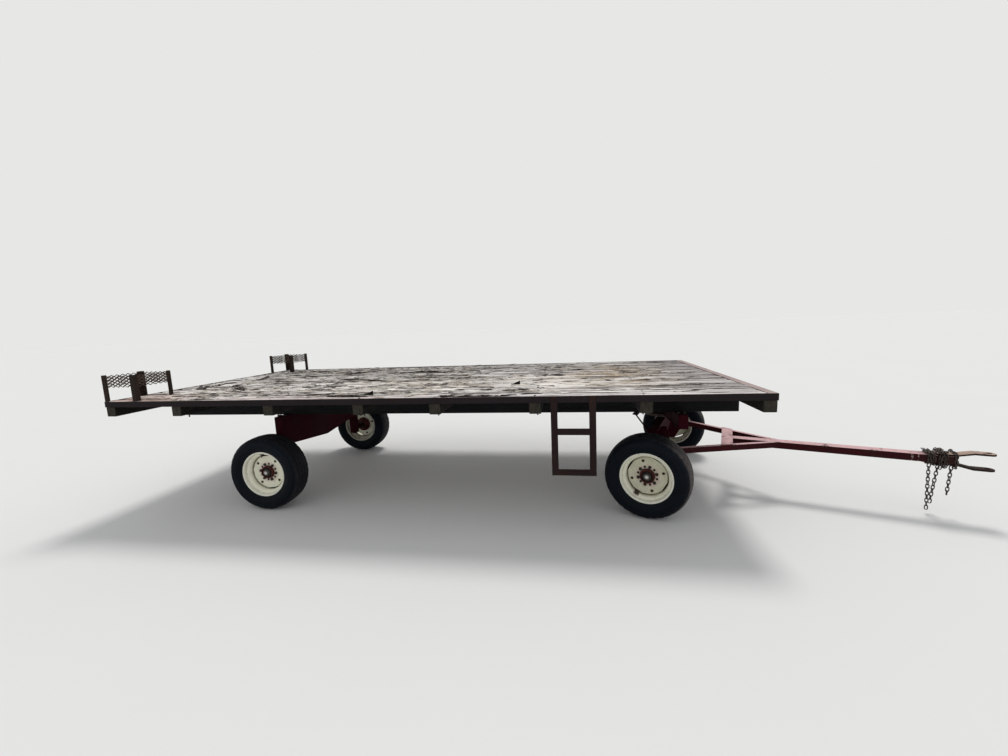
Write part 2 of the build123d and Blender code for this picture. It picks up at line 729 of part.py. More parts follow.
def write_tongue():
    """The tongue, its hitch and its chains."""
    # Columns: name, place along the pole, place across it, links and lean in degrees
    chains = (
        ("chain_rear", 1951.0, -18.0, 13, -1.3),
        ("chain_middle", 2014.0, 14.0, 11, 5.0),
        ("chain_front", 2086.0, 6.0, 8, 2.8),
    )
    save("tongue_arm_right", turned(tongue_arm(-1)))
    save("tongue_arm_left", turned(tongue_arm(1)))
    save("tongue_pole", turned(tongue_pole()))
    save("tongue_cross_plate", turned(cross_plate()))
    save("hitch_straps", *(turned(strap) for strap in hitch_straps()))
    save("chain_wraps", *(turned(chain_wrap(row[1])) for row in chains))
    for name, t, l, count, lean in chains:
        save(name, *(turned(link) for link in chain(t, l, count, lean)))


def write_wheels():
    """Four wheels: tyre, rim and hub."""
    for end in ("rear", "front"):
        for side, name in ((-1, "right"), (1, "left")):
            place = Pos(0, side * TRACK / 2, AXLE_Z)
            wheel = "{}_" + end + "_" + name
            for piece, shape in (("tyre", tyre()), ("rim", rim(side)), ("hub", hub(side))):
                shape = place * shape
                placed = turned(shape) if end == "front" else Pos(REAR_AXLE_X, 0, 0) * shape
                save(wheel.format(piece), placed)


os.makedirs("parts", exist_ok=True)
write_deck()
write_fixed_gear()
write_front_gear()
write_tongue()
write_wheels()
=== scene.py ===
import json
import math
import random

import bpy
import numpy as np
from mathutils import Matrix, Vector, noise


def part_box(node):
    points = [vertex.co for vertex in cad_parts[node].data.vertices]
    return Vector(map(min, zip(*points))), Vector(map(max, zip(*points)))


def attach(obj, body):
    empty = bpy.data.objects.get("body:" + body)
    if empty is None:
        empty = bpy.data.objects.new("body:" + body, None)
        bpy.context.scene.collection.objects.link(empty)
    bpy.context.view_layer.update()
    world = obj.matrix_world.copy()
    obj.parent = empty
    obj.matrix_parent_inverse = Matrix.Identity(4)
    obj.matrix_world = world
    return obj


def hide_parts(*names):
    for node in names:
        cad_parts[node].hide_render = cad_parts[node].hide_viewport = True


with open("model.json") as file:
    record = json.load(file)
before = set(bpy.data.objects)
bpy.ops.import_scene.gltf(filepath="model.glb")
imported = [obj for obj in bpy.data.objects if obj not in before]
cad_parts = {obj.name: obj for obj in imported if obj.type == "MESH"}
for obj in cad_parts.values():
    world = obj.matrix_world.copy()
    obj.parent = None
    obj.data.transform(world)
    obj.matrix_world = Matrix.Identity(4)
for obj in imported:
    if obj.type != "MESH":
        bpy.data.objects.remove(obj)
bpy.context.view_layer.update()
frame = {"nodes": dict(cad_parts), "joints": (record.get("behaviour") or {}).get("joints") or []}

# Looks of the hay wagon, in metres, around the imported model.
# The wheels, planks, chains and basket mesh are replaced by detailed pieces. The rest of the model
# keeps its solids and gets rounded edges and a material.


def frame_of(x_axis, y_axis, z_axis, origin):
    """The matrix that has these axes and this origin."""
    rows = [(*axis, 0) for axis in (x_axis, y_axis, z_axis)]
    return Matrix((*rows, (*origin, 1))).transposed()


NODES = frame["nodes"]
JOINTS = {joint["name"]: joint for joint in frame["joints"]}
LATERAL = Vector(JOINTS["roll_front_left"]["axis"]).normalized()
UP = Vector((0, 0, 1))
FORWARD = LATERAL.cross(UP).normalized()
KINGPIN = Vector(JOINTS["steer"]["pos_m"])
GEAR = frame_of(FORWARD, LATERAL, UP, (KINGPIN.x, KINGPIN.y, 0))

# Sizes repeated from the model's source, in metres
BOARD_COUNT = 10
BOARD_GAP = 0.007
LINK_PITCH = 0.029
LINK_WIRE = 0.007
LINK_INNER = 0.011
LINK_GAP = 0.0003
WRAP_THICK = 0.009
POLE_HALF = 0.0475
STRAP_THICK = 0.014
STRAP_BACK = 1.985
TYRE_RADIUS = 0.343
DISC_Y = 0.020
HUB_NOSE = 0.026
CROSS_PLACES = (0.0495, 0.722, 1.602, 2.402, 3.042, 3.822, 4.622, 5.4365)
RUNG_HEIGHTS = (0.470, 0.783)

DECK_LOW, DECK_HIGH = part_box("deck_boards")
DECK_TOP = DECK_HIGH.z
BOARD_PITCH = (DECK_HIGH.y - DECK_LOW.y + BOARD_GAP) / BOARD_COUNT
REAR_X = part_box("rail_right")[0].x
POLE_LOW, POLE_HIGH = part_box("tongue_pole")[0].z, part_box("tongue_pole")[1].z
STRAP_MIDDLE = (POLE_LOW + POLE_HIGH) / 2

# The photograph's camera: focal length and width in pixels, place, and the ways it looks
FOCAL_PIXELS = 409.255
PHOTO_WIDTH = 1008
SENSOR_WIDTH = 36.0
CAMERA_PLACE = (0.47942, -4.21091, 1.61945)
CAMERA_RIGHT = Vector((0.987691, 0.151064, -0.040492)).normalized()
CAMERA_AHEAD = Vector((-0.155126, 0.979193, -0.130797))

FLOOR_COLOUR = (0.80, 0.80, 0.785)
FLOOR_HALF = 150.0
SUN_FROM = Vector((0.12, 0.42, 0.90))

# Angles about a wheel's axle: the middle of its first slot and half of each slot's width
SLOT_MIDDLE = math.radians(45.0)
SLOT_HALF = math.radians(19.0)
QUARTER = math.pi / 2

# Place of the straps' bolt along the pole, and radii on a wheel of the lug bolts, outer holes and valve
STRAP_BOLT = 2.048
LUG_CIRCLE = 0.076
HOLE_CIRCLE = 0.128
VALVE_RADIUS = 0.170

# Steps round a tyre, and how many of them a rib's wave and a shoulder's slot take up
TYRE_STEPS = 216
WAVE_STEPS = 6

# Grid of a plank's top, its least and greatest depth below the deck's top
PLANK_ROWS = 380
PLANK_LINES = 50
SHALLOWEST = 0.0004
DEEPEST = 0.036

# Torn strips on each of the near planks and on each of the others, and slivers on the whole deck
NEAR_PLANKS = 6
NEAR_TEARS = 14
FAR_TEARS = 9
SLIVER_COUNT = 760

# Bolts: places across a plank; inset and length of each end below; width and height of a large head
BOLTS_ACROSS = (0.22, 0.78)
BOLT_ENDS = ((0.115, 0.034), (0.60, 0.026))
BOLT_HEAD = (0.024, 0.013)
BEAM_BOLT_Y = 0.655


# Camera, floor and light

def new_object(name, data, matrix=None):
    """A new object in the scene."""
    made = bpy.data.objects.new(name, data)
    bpy.context.scene.collection.objects.link(made)
    if matrix:
        made.matrix_world = matrix
    return made


def set_camera():
    """The camera of the photograph."""
    ahead = (CAMERA_AHEAD - CAMERA_RIGHT * CAMERA_AHEAD.dot(CAMERA_RIGHT)).normalized()
    data = bpy.data.cameras.new("camera")
    data.sensor_fit = "HORIZONTAL"
    data.sensor_width = SENSOR_WIDTH
    data.lens = FOCAL_PIXELS / PHOTO_WIDTH * SENSOR_WIDTH
    data.clip_end = 500.0
    matrix = frame_of(CAMERA_RIGHT, CAMERA_RIGHT.cross(ahead), -ahead, CAMERA_PLACE)
    bpy.context.scene.camera = new_object("camera", data, matrix)
    bpy.context.scene.view_settings.view_transform = "Standard"


def shade(colour, factor):
    """A colour made darker or paler by a factor."""
    return tuple(min(1.0, factor * part) for part in colour)


class Value:
    """A number in a material's graph, ready for plain arithmetic."""

    def __init__(self, graph, socket):
        self.graph = graph
        self.socket = socket

    def maths(self, operation, *others):
        return self.graph.maths(operation, self, *others)

    def __add__(self, other):
        return self.maths("ADD", other)

    def __sub__(self, other):
        return self.maths("SUBTRACT", other)

    def __rsub__(self, other):
        return self.graph.maths("SUBTRACT", other, self)

    def __mul__(self, other):
        return self.maths("MULTIPLY", other)

    def __truediv__(self, other):
        return self.maths("DIVIDE", other)

    def __abs__(self):
        return self.maths("ABSOLUTE")

    def span(self, low, high, start=0.0, end=1.0):
        """A smooth step from start to end while the value goes from low to high."""
        inputs = {"Value": self, "From Min": low, "From Max": high, "To Min": start, "To Max": end}
        return self.graph.value("MapRange", inputs, interpolation_type="SMOOTHSTEP")

    def fall(self, low, high):
        """A smooth step down from 1 to 0."""
        return self.span(low, high, 1.0, 0.0)

    def band(self, start, full, fading, gone):
        """One between full and fading, and nothing before start and after gone."""
        return self.span(start, full) * self.fall(fading, gone)


class Graph:
    """Shorthand for the nodes of one material, and its colour so far."""

    def __init__(self, name):
        self.material = bpy.data.materials.new(name)
        self.material.use_nodes = True
        self.tree = self.material.node_tree
        self.shader = self.tree.nodes["Principled BSDF"]
        self.object = self.node("TexCoord").outputs["Object"]
        self.colour = None

    def node(self, kind, inputs=None, **settings):
        made = self.tree.nodes.new("ShaderNode" + kind)
        for key, value in settings.items():
            setattr(made, key, value)
        for key, value in (inputs or {}).items():
            self.feed(made.inputs[key], value)
        return made

    def feed(self, socket, value):
        if isinstance(value, Value):
            value = value.socket
        if isinstance(value, bpy.types.NodeSocket):
            self.tree.links.new(value, socket)
        elif socket.type == "RGBA" and len(value) == 3:
            socket.default_value = (*value, 1.0)
        else:
            socket.default_value = value

    def value(self, kind, inputs, output=0, **settings):
        return Value(self, self.node(kind, inputs, **settings).outputs[output])

    def maths(self, operation, *values):
        return self.value("Math", dict(enumerate(values)), operation=operation)

    def scaled(self, scale, source=None, offset=(0, 0, 0)):
        inputs = {"Vector": source or self.object, "Scale": scale, "Location": offset}
        return self.node("Mapping", inputs).outputs["Vector"]

    def noise(self, scale, stretch=(1, 1, 1), detail=4.0, rough=0.55, warp=0.0, **place):
        inputs = {"Vector": self.scaled(stretch, **place), "Scale": scale, "Detail": detail,
                  "Roughness": rough, "Distortion": warp}
        return self.value("TexNoise", inputs, "Fac")

    def ramp(self, value, *stops):
        made = self.node("ValToRGB", {"Fac": value})
        elements = made.color_ramp.elements
        while len(elements) < len(stops):
            elements.new(0.5)
        for element, (place, colour) in zip(elements, stops):
            element.position = place
            element.color = (*colour, 1.0)
        return made.outputs["Color"]

    def mix(self, factor, under, over, mode="MIX"):
        made = self.node("Mix", data_type="RGBA", blend_type=mode)
        for place, value in ((0, factor), (6, under), (7, over)):
            self.feed(made.inputs[place], value)
        return made.outputs[2]

    def coat(self, amount, colour, mode="MIX"):
        """Another colour over the colour so far."""
        self.colour = self.mix(amount, self.colour, colour, mode)

    def parts(self, source=None):
        made = self.node("SeparateXYZ", {"Vector": source or self.object})
        return [Value(self, made.outputs[axis]) for axis in "XYZ"]

    def facing(self):
        """The surface's own direction in the object's frame, as x, y and z."""
        return self.parts(self.node("TexCoord").outputs["Normal"])

    def attribute(self, name):
        return self.value("Attribute", None, "Fac", attribute_name=name)

    def finish(self, roughness, *reliefs, metallic=0.0, specular=0.5):
        """The material, from its colour, roughness and reliefs: each a height, a distance and a strength."""
        normal = None
        for height, distance, strength in reliefs:
            inputs = {"Height": height, "Distance": distance, "Strength": strength}
            if normal:
                inputs["Normal"] = normal
            normal = self.node("Bump", inputs).outputs["Normal"]
        inputs = {"Base Color": self.colour, "Roughness": roughness, "Metallic": metallic,
                  "Specular IOR Level": specular, "Normal": normal}
        for name, value in inputs.items():
            if value is not None:
                self.feed(self.shader.inputs[name], value)
        return self.material


def floor_and_light():
    """A pale floor that runs to the horizon, one soft sun and an even sky."""
    g = Graph("floor")
    g.colour = g.mix(g.noise(0.6, detail=3.0), shade(FLOOR_COLOUR, 0.975), FLOOR_COLOUR)
    corners = [(x * FLOOR_HALF, y * FLOOR_HALF, 0) for x, y in ((-1, -1), (1, -1), (1, 1), (-1, 1))]
    mesh = bpy.data.meshes.new("floor")
    mesh.from_pydata(corners, [], [(0, 1, 2, 3)])
    mesh.materials.append(g.finish(0.9, specular=0.1))
    floor = new_object("floor", mesh)

    world = bpy.data.worlds.new("world")
    world.use_nodes = True
    tree = world.node_tree
    tree.nodes.clear()
    kinds = {"path": "LightPath", "seen": "Math", "shown": "Math", "light": "Background",
             "back": "Background", "blend": "MixShader", "out": "OutputWorld"}
    nodes = {name: tree.nodes.new("ShaderNode" + kind) for name, kind in kinds.items()}
    for name in ("seen", "shown"):
        nodes[name].operation = "MAXIMUM"
    for name, colour, strength in (("light", (0.96, 0.98, 1.0), 0.62), ("back", FLOOR_COLOUR, 1.0)):
        nodes[name].inputs["Color"].default_value = (*colour, 1.0)
        nodes[name].inputs["Strength"].default_value = strength
    # Columns: a node, its output, the next node, its input
    links = (
        ("path", "Is Camera Ray", "seen", 0), ("path", "Is Glossy Ray", "seen", 1),
        ("seen", 0, "shown", 0), ("path", "Is Transmission Ray", "shown", 1),
        ("shown", 0, "blend", 0), ("light", 0, "blend", 1), ("back", 0, "blend", 2),
        ("blend", 0, "out", "Surface"),
    )
    for start, output, end, entry in links:
        tree.links.new(nodes[start].outputs[output], nodes[end].inputs[entry])
    bpy.context.scene.world = world

    lamp = bpy.data.lights.new("sun", "SUN")
    lamp.energy = 1.45
    lamp.angle = math.radians(16)
    lamp.color = (1.0, 0.985, 0.96)
    new_object("sun", lamp).rotation_euler = SUN_FROM.to_track_quat("Z", "Y").to_euler()


# Materials

def wood(name, along, dark, mid, pale, end_grain):
    """Sawn timber with its grain along an axis and paler cut ends."""
    g = Graph(name)
    stretch = [26.0, 26.0, 26.0]
    stretch[along] = 1.1
    grain = g.noise(1.0, stretch, detail=7.0, rough=0.68, warp=0.35)
    broad = g.noise(1.3, detail=3.0)
    g.colour = g.ramp(grain, (0.30, dark), (0.52, mid), (0.74, pale))
    g.coat(broad.span(0.35, 0.7), dark, "MULTIPLY")
    g.coat(broad.span(0.35, 0.7, 0.75, 0.2), g.ramp(grain, (0.3, dark), (0.7, mid)))
    finer = [2.4 * part for part in stretch]
    split = g.noise(1.0, finer, detail=3.0, rough=0.6, warp=0.5, offset=(3, 7, 1))
    line = abs(split - 0.5).fall(0.0, 0.022) * 0.8
    g.coat(line, shade(dark, 0.35))
    across = [60.0, 60.0, 60.0]
    across[along] = 8.0
    across[2] = 11.0
    rays = g.noise(1.0, across, detail=5.0, rough=0.7, warp=0.8)
    cut = g.ramp(rays, (0.33, shade(end_grain, 0.45)), (0.5, end_grain), (0.72, shade(end_grain, 1.35)))
    g.coat(abs(g.facing()[along]).span(0.6, 0.9), cut)
    return g.finish(0.86, (grain - line, 0.004, 0.9), (rays, 0.002, 0.4), specular=0.25)


def deck_wood():
    """Weathered planks: torn pale wood over dark grey, long streaks and hay dust towards the front."""
    g = Graph("deck_wood")
    x, y, z = g.parts()
    number = ((y - DECK_LOW.y) / BOARD_PITCH).maths("FLOOR")
    own = g.value("TexWhiteNoise", {"W": number}, "Value", noise_dimensions="1D")
    shift = g.node("CombineXYZ", {"X": number * 3.7, "Y": y, "Z": z}).outputs[0]
    place = g.node("VectorMath", {0: g.object, 1: shift}, operation="ADD").outputs[0]

    def streaks(stretch, detail, rough, warp=0.3):
        return g.noise(1.0, stretch, detail, rough, warp, source=place)

    grain = streaks((1.0, 42.0, 42.0), 8.0, 0.66, 0.5)
    fine = streaks((5.0, 190.0, 190.0), 4.0, 0.6)
    broad = streaks((0.9, 5.0, 5.0), 4.0, 0.6, 0.6)
    flakes = streaks((1.15, 7.2, 7.2), 6.0, 0.68, 0.2)
    fleck = streaks((6.5, 15.0, 15.0), 5.0, 0.70, 0.5)
    long = streaks((0.75, 9.0, 9.0), 7.0, 0.72)
    torn_tone = flakes * 0.66 + fleck * 0.22 + grain * 0.12
    long_tone = long * 0.56 + flakes * 0.14 + fleck * 0.18 + grain * 0.12
    front = x.span(-0.6, 0.7)
    middle = x.band(-2.5, -1.5, 0.2, 1.2) * y.band(-1.00, -0.72, -0.16, 0.12)
    tone = torn_tone * (1.0 - front) + long_tone * front
    tone = (own - 0.5) * 0.035 + (broad - 0.5) * 0.10 + middle * 0.017 + tone
    g.colour = g.ramp(tone, (0.430, (0.060, 0.051, 0.048)), (0.459, (0.26, 0.230, 0.213)),
                      (0.488, (0.52, 0.480, 0.455)), (0.515, (0.78, 0.735, 0.705)),
                      (0.550, (0.98, 0.95, 0.92)))

    far = y.span(-0.05, 0.50) * x.span(0.1, 1.4, 1.0, 0.55) * x.span(-1.8, -0.5, 0.66, 1.0)
    g.coat(far, (0.61, 0.61, 0.62), "MULTIPLY")
    g.coat(1.0, g.mix(x.span(1.0, 1.7), (1.0, 1.0, 1.0), (0.62, 0.605, 0.62)), "MULTIPLY")
    g.coat(middle * broad.span(0.36, 0.56, 0.10, 0.36), (0.92, 0.845, 0.735))

    # Hay dust
    chaff = g.noise(62.0, (0.6, 1, 1), detail=5.0, rough=0.78, warp=1.2)
    area = g.noise(2.6, (0.8, 1, 1), detail=6.0, rough=0.68, warp=0.8).span(0.40, 0.58, 0.12, 1.0)
    dust = x.band(0.10, 0.80, 1.00, 1.70) * y.band(-0.97, -0.47, 0.60, 1.10) * area
    hay = g.ramp(chaff * 0.4 + tone * 0.6, (0.42, (0.065, 0.043, 0.028)), (0.47, (0.23, 0.165, 0.108)),
                 (0.51, (0.44, 0.345, 0.245)), (0.58, (0.80, 0.70, 0.56)))
    g.coat(dust * 0.85, hay)

    # Raw wood where the surface is torn off
    raw = g.ramp(fine * 0.25 + fleck * 0.75, (0.40, (0.40, 0.340, 0.280)), (0.49, (0.74, 0.69, 0.62)),
                 (0.57, (0.92, 0.89, 0.84)))
    g.coat(g.attribute("fresh") * 0.60, raw)

    # The pale near edge and the darker rear corner
    edge = y.fall(DECK_LOW.y + 0.05, DECK_LOW.y + 0.22) * tone.span(0.43, 0.50, 0.15, 0.90)
    pale = g.mix(x.span(-1.6, 0.2), (0.66, 0.565, 0.54), (0.84, 0.79, 0.78))
    g.coat(edge * x.span(-2.9, -2.1, 0.25, 0.9), pale)
    g.coat(x.fall(-3.3, -2.6) * y.fall(-1.0, -0.7) * 0.75, (0.80, 0.62, 0.56), "MULTIPLY")

    # Knots, cracks, and painted shade in the gaps, splits, hollows and rotten patches
    cell = g.value("TexVoronoi", {"Vector": g.scaled((1.3, 4.6, 4.6), place), "Scale": 1.0}, "Distance")
    g.coat(cell.fall(0.055, 0.10) * 0.75, (0.11, 0.070, 0.048))
    crack = abs(streaks((1.2, 9.0, 9.0), 5.0, 0.58, 0.8) - 0.5)
    line = crack.fall(0.0, 0.011) * broad.span(0.44, 0.54)
    g.coat(line * 0.85, (0.060, 0.050, 0.046))
    hollow_shade_colour = g.ramp(grain * 0.55 + fleck * 0.45, (0.43, (0.009, 0.007, 0.006)), (0.50, (0.020, 0.016, 0.014)),
                    (0.57, (0.085, 0.069, 0.059)))
    g.coat(g.attribute("hollow_shade"), hollow_shade_colour)
    return g.finish(grain.span(0.3, 0.7, 0.82, 0.94), (tone - line * 0.10, 0.010, 0.8), (grain, 0.004, 0.7),
                    (fine, 0.0012, 0.7), specular=0.0)


def splinter_wood():
    """Torn slivers: raw pale wood, some gone grey."""
    g = Graph("splinter_wood")
    fine = g.noise(1.0, (6.0, 160.0, 160.0), detail=4.0, rough=0.6)
    raw = g.ramp(fine, (0.32, (0.44, 0.38, 0.31)), (0.52, (0.70, 0.645, 0.57)), (0.72, (0.86, 0.82, 0.75)))
    grey = g.ramp(fine, (0.32, (0.045, 0.040, 0.037)), (0.6, (0.20, 0.180, 0.165)))
    g.colour = g.mix(g.noise(9.0, detail=3.0).span(0.46, 0.54), raw, grey)
    return g.finish(0.90, (fine, 0.002, 0.8), specular=0.0)


def paint(name, base, worn, dust, dusty, rusty, rough, faded=None, beyond=None, gloss=0.08, shade_below=None):
    """Old gloss paint: uneven tone, chips down to rust, dust on what faces up. It can have faded tops, held
    off below a height as painted shade, and an end gone to rust beyond a place along the tongue."""
    g = Graph(name)
    up = g.facing()[2]
    tone = g.noise(3.5, detail=5.0, rough=0.6)
    g.colour = g.mix(tone.span(0.35, 0.68), shade(base, 0.72), base)
    if faded:
        sun = up.span(0.35, 0.8)
        # Painted shade: below this height the faded tops are held off
        if shade_below:
            sun = sun * g.parts()[2].span(shade_below - 0.01, shade_below + 0.01)
        uneven = g.noise(9.0, (0.5, 1, 1), detail=6.0, rough=0.7, warp=0.6)
        tops = g.mix(uneven.span(0.45, 0.65), faded, shade(faded, 0.78))
        g.coat(sun * uneven.span(0.25, 0.55, 0.72, 1.0), tops)
    speck = g.noise(38.0, detail=6.0, rough=0.72, warp=0.4)
    area = g.noise(4.2, detail=3.0, offset=(5, 2, 8))
    limit = 0.74 - 0.2 * rusty
    chip = (speck + (area - 0.5) * 0.9).span(limit, limit + 0.035)
    grit = g.noise(60.0, detail=5.0, rough=0.7)
    rust = g.ramp(grit, (0.3, shade(worn, 0.5)), (0.6, worn), (0.8, shade(worn, 1.5)))
    g.coat(chip, rust)
    grime = up.span(0.4, 0.85) * g.noise(7.0, detail=5.0, rough=0.65).span(0.3, 0.62) * dusty
    g.coat(grime, dust)
    if beyond:
        offset = g.node("VectorMath", {0: g.object, 1: KINGPIN}, operation="SUBTRACT").outputs[0]
        along = g.value("VectorMath", {0: offset, 1: FORWARD}, "Value", operation="DOT_PRODUCT")
        bare = (along + area * 0.16).span(beyond + 0.03, beyond + 0.16)
        g.coat(bare * speck.span(0.3, 0.6, 0.95, 0.72), rust)
        # Columns of a scuff: place along the tongue, half width
        for place, half in ((1.844, 0.007), (1.880, 0.004)):
            scuff = abs(along - place).fall(0.5 * half, 1.3 * half) * speck.span(0.44, 0.54)
            g.coat(scuff * up.span(0.3, 0.6, 0.8, 0.0), (0.44, 0.34, 0.32))
    streak = g.noise(1.0, (22.0, 22.0, 1.4), detail=5.0, rough=0.6)
    g.coat(streak.span(0.54, 0.74, 0.0, 0.28), shade(base, 0.4))
    roughness = (chip * 0.3 + tone.span(0.3, 0.7, rough, rough + 0.16)).maths("MINIMUM", 0.95)
    roughness = roughness.maths("MAXIMUM", grime * 1.2)
    return g.finish(roughness, (tone * 0.4 - chip * 0.5, 0.0016, 0.8), (speck, 0.0006, 0.5), specular=gloss)


def steel(name, dark, light, metallic, rough):
    """Bare or chain steel gone to rust."""
    g = Graph(name)
    tone = g.noise(45.0, detail=6.0, rough=0.7, warp=0.5)
    middle = [(a + b) / 2 for a, b in zip(dark, light)]
    g.colour = g.ramp(tone * 0.7 + g.noise(9.0, detail=3.0) * 0.3, (0.34, dark), (0.52, middle), (0.7, light))
    shine = tone.span(0.5, 0.7, 0.15 * metallic, metallic)
    return g.finish(tone.span(0.35, 0.7, rough + 0.2, rough), (tone, 0.0012, 0.7), metallic=shine)


def wheel_coordinates(g):
    """Radius and angle about the wheel's axle and place along it, for pieces built about their own Y axis."""
    x, y, z = g.parts()
    radius = (x * x + z * z).maths("SQRT")
    angle = z.maths("ARCTAN2", x) + g.attribute("turn")
    return radius, angle, y


def tyre_rubber():
    """Black rubber with a painted cool sheen in its bluish tone, dusty on the tread and in its grooves."""
    g = Graph("tyre_rubber")
    radius, angle = wheel_coordinates(g)[:2]
    tone = g.noise(14.0, detail=5.0, rough=0.6)
    # Bluish black: painted sheen of the sky on the rubber
    g.colour = g.ramp(tone, (0.32, (0.0014, 0.0030, 0.0062)), (0.55, (0.0028, 0.0050, 0.0090)),
                      (0.78, (0.0060, 0.0090, 0.0130)))
    # Tread dust held to one arc of each wheel: real dust, with painted light on the lit side of the near
    # front tyre
    rolled = (angle - math.radians(285.0)).maths("COSINE").span(0.35, 0.85, 0.10, 1.0)
    tread = radius.span(0.318, 0.334) * rolled
    mud = g.noise(26.0, detail=6.0, rough=0.7, warp=0.6).span(0.36, 0.66)
    grey = g.noise(3.2, detail=3.0, rough=0.5).span(0.48, 0.64)
    g.coat(tread * mud.span(0.0, 1.0, 0.60, 1.0), (0.118, 0.102, 0.100))
    g.coat(tread * grey * 0.65, (0.100, 0.088, 0.085))
    g.coat(radius.span(0.295, 0.325) * rolled * mud.span(0.3, 0.9, 0.0, 0.16), (0.060, 0.058, 0.056))
    g.coat(radius.fall(0.211, 0.223) * mud * 0.25, (0.09, 0.08, 0.065))
    rings = (radius * 900.0).maths("SINE") * radius.fall(0.29, 0.30)
    fine = g.noise(160.0, detail=3.0, rough=0.6)
    roughness = tone.span(0.3, 0.7, 0.54, 0.68) + tread * 0.18
    return g.finish(roughness, (rings, 0.0003, 0.25), (fine, 0.0005, 0.5), specular=0.10)


def cream_enamel():
    """Cream wheel paint, dirty in its corners and rusting round the holes, with painted shade at the holes'
    edges and painted light in the rim's well and on the rear wheels.
    """
    g = Graph("cream_enamel")
    radius, angle, y = wheel_coordinates(g)
    tone = g.noise(11.0, detail=5.0, rough=0.6)
    dirt = g.noise(30.0, detail=6.0, rough=0.72, warp=0.7)
    fine = g.noise(95.0, detail=5.0, rough=0.75)
    # Painted sunlight: the rear wheels' paint is made paler and its face less speckled
    painted_sun = g.attribute("painted_sun")
    g.colour = g.mix(tone.span(0.3, 0.7), (0.62, 0.604, 0.455), (0.77, 0.752, 0.590))
    g.coat(painted_sun * 0.75, (0.93, 0.915, 0.760))
    face = radius.fall(0.140, 0.158) * (painted_sun * -0.7 + 1.0)
    g.coat(face * fine.span(0.40, 0.66, 0.10, 0.55), (0.38, 0.355, 0.235))
    corner = radius.band(0.149, 0.160, 0.1665, 0.172) * y.fall(0.010, 0.034)
    g.coat(corner * dirt.span(0.30, 0.60, 0.25, 0.75), (0.15, 0.135, 0.075))
    step = radius.band(0.1850, 0.1895, 0.1925, 0.1955)
    g.coat(step * dirt.span(0.32, 0.6, 0.25, 0.75), (0.24, 0.22, 0.14))
    g.coat(dirt.span(0.54, 0.72, 0.0, 0.42), (0.33, 0.29, 0.20))
    # Painted light on the outer part of the rim's well
    well = radius.span(0.166, 0.172) * y.span(0.034, 0.046)
    g.coat(well * dirt.span(0.34, 0.60, 0.95, 0.55), (0.92, 0.905, 0.750))
    halo = abs(radius - LUG_CIRCLE).fall(0.012, 0.034)
    g.coat(halo * dirt.span(0.36, 0.58, 0.15, 0.6), (0.60, 0.435, 0.385))
    hub = radius.fall(0.060, 0.068) * dirt.span(0.30, 0.5, 0.4, 1.0)
    g.coat(hub * 0.75, (0.16, 0.070, 0.060))
    # Columns: circle's radius, half the angle between its places, painted shade out to, stained out to,
    # stain's colour
    rows = (
        (LUG_CIRCLE, math.pi / 12, 0.0085, 0.0125, (0.115, 0.060, 0.045)),
        (HOLE_CIRCLE, math.pi / 4, 0.0098, 0.0190, (0.30, 0.19, 0.085)),
    )
    for circle, half, dark, stained, stain in rows:
        arc = angle.maths("PINGPONG", half) * circle
        away = radius - circle
        off = (arc * arc + away * away).maths("SQRT")
        g.coat(off.fall(dark, stained) * dirt.span(0.35, 0.60, 0.45, 0.9), stain)
        # Painted shade at the edge of each hole
        g.coat(off.fall(dark, dark + 0.0022), (0.012, 0.009, 0.008))
    valve = (angle - SLOT_MIDDLE).maths("COSINE").span(0.9865, 0.9960)
    seat = abs(radius - VALVE_RADIUS).fall(0.008, 0.017)
    g.coat(valve * seat * dirt.span(0.30, 0.55, 0.4, 0.95), (0.085, 0.045, 0.03))
    outside = radius.span(0.190, 0.196)
    g.coat(outside * 0.85, (0.84, 0.825, 0.715))
    lip = outside * g.noise(45.0, detail=4.0, rough=0.7).span(0.61, 0.67)
    g.coat(lip * 0.7, (0.16, 0.08, 0.05))
    g.coat(y.fall(-0.006, 0.006) * dirt.span(0.3, 0.6, 0.3, 0.7), (0.22, 0.20, 0.15))
    return g.finish(dirt.span(0.35, 0.7, 0.42, 0.72), (dirt, 0.0006, 0.6), (tone, 0.002, 0.25), specular=0.45)


def hub_paint():
    """Dark red paint on the hub's nose, with painted shade in the sunk ring round the cap."""
    g = Graph("hub_paint")
    radius = wheel_coordinates(g)[0]
    tone = g.noise(22.0, detail=6.0, rough=0.68, warp=0.4)
    g.colour = g.ramp(tone, (0.36, (0.024, 0.006, 0.006)), (0.50, (0.075, 0.014, 0.013)),
                      (0.66, (0.115, 0.030, 0.024)))
    g.coat(g.noise(46.0, detail=5.0, rough=0.7).span(0.52, 0.62) * 0.6, (0.040, 0.024, 0.018))
    # Painted shade in the sunk ring round the cap
    g.coat(radius.fall(0.046, 0.0495) * 0.92, (0.010, 0.008, 0.007))
    return g.finish(tone.span(0.35, 0.7, 0.50, 0.72), (tone, 0.0012, 0.7), specular=0.15)


def cap_steel():
    """Dust cap: a painted highlight on its crown over dull dark sides."""
    g = Graph("cap_steel")
    radius = wheel_coordinates(g)[0]
    tone = g.noise(60.0, detail=5.0, rough=0.65)
    # Painted highlight: a bright spot on the crown, more metallic and less rough
    worn = (radius + tone * 0.010).fall(0.012, 0.026)
    g.colour = g.ramp(tone, (0.35, (0.018, 0.017, 0.015)), (0.65, (0.060, 0.055, 0.048)))
    g.coat(worn, (0.62, 0.61, 0.58))
    roughness = tone.span(0.3, 0.7, 0.34, 0.50) - worn * 0.12
    return g.finish(roughness, (tone, 0.0006, 0.5), metallic=worn * 0.55, specular=0.35)


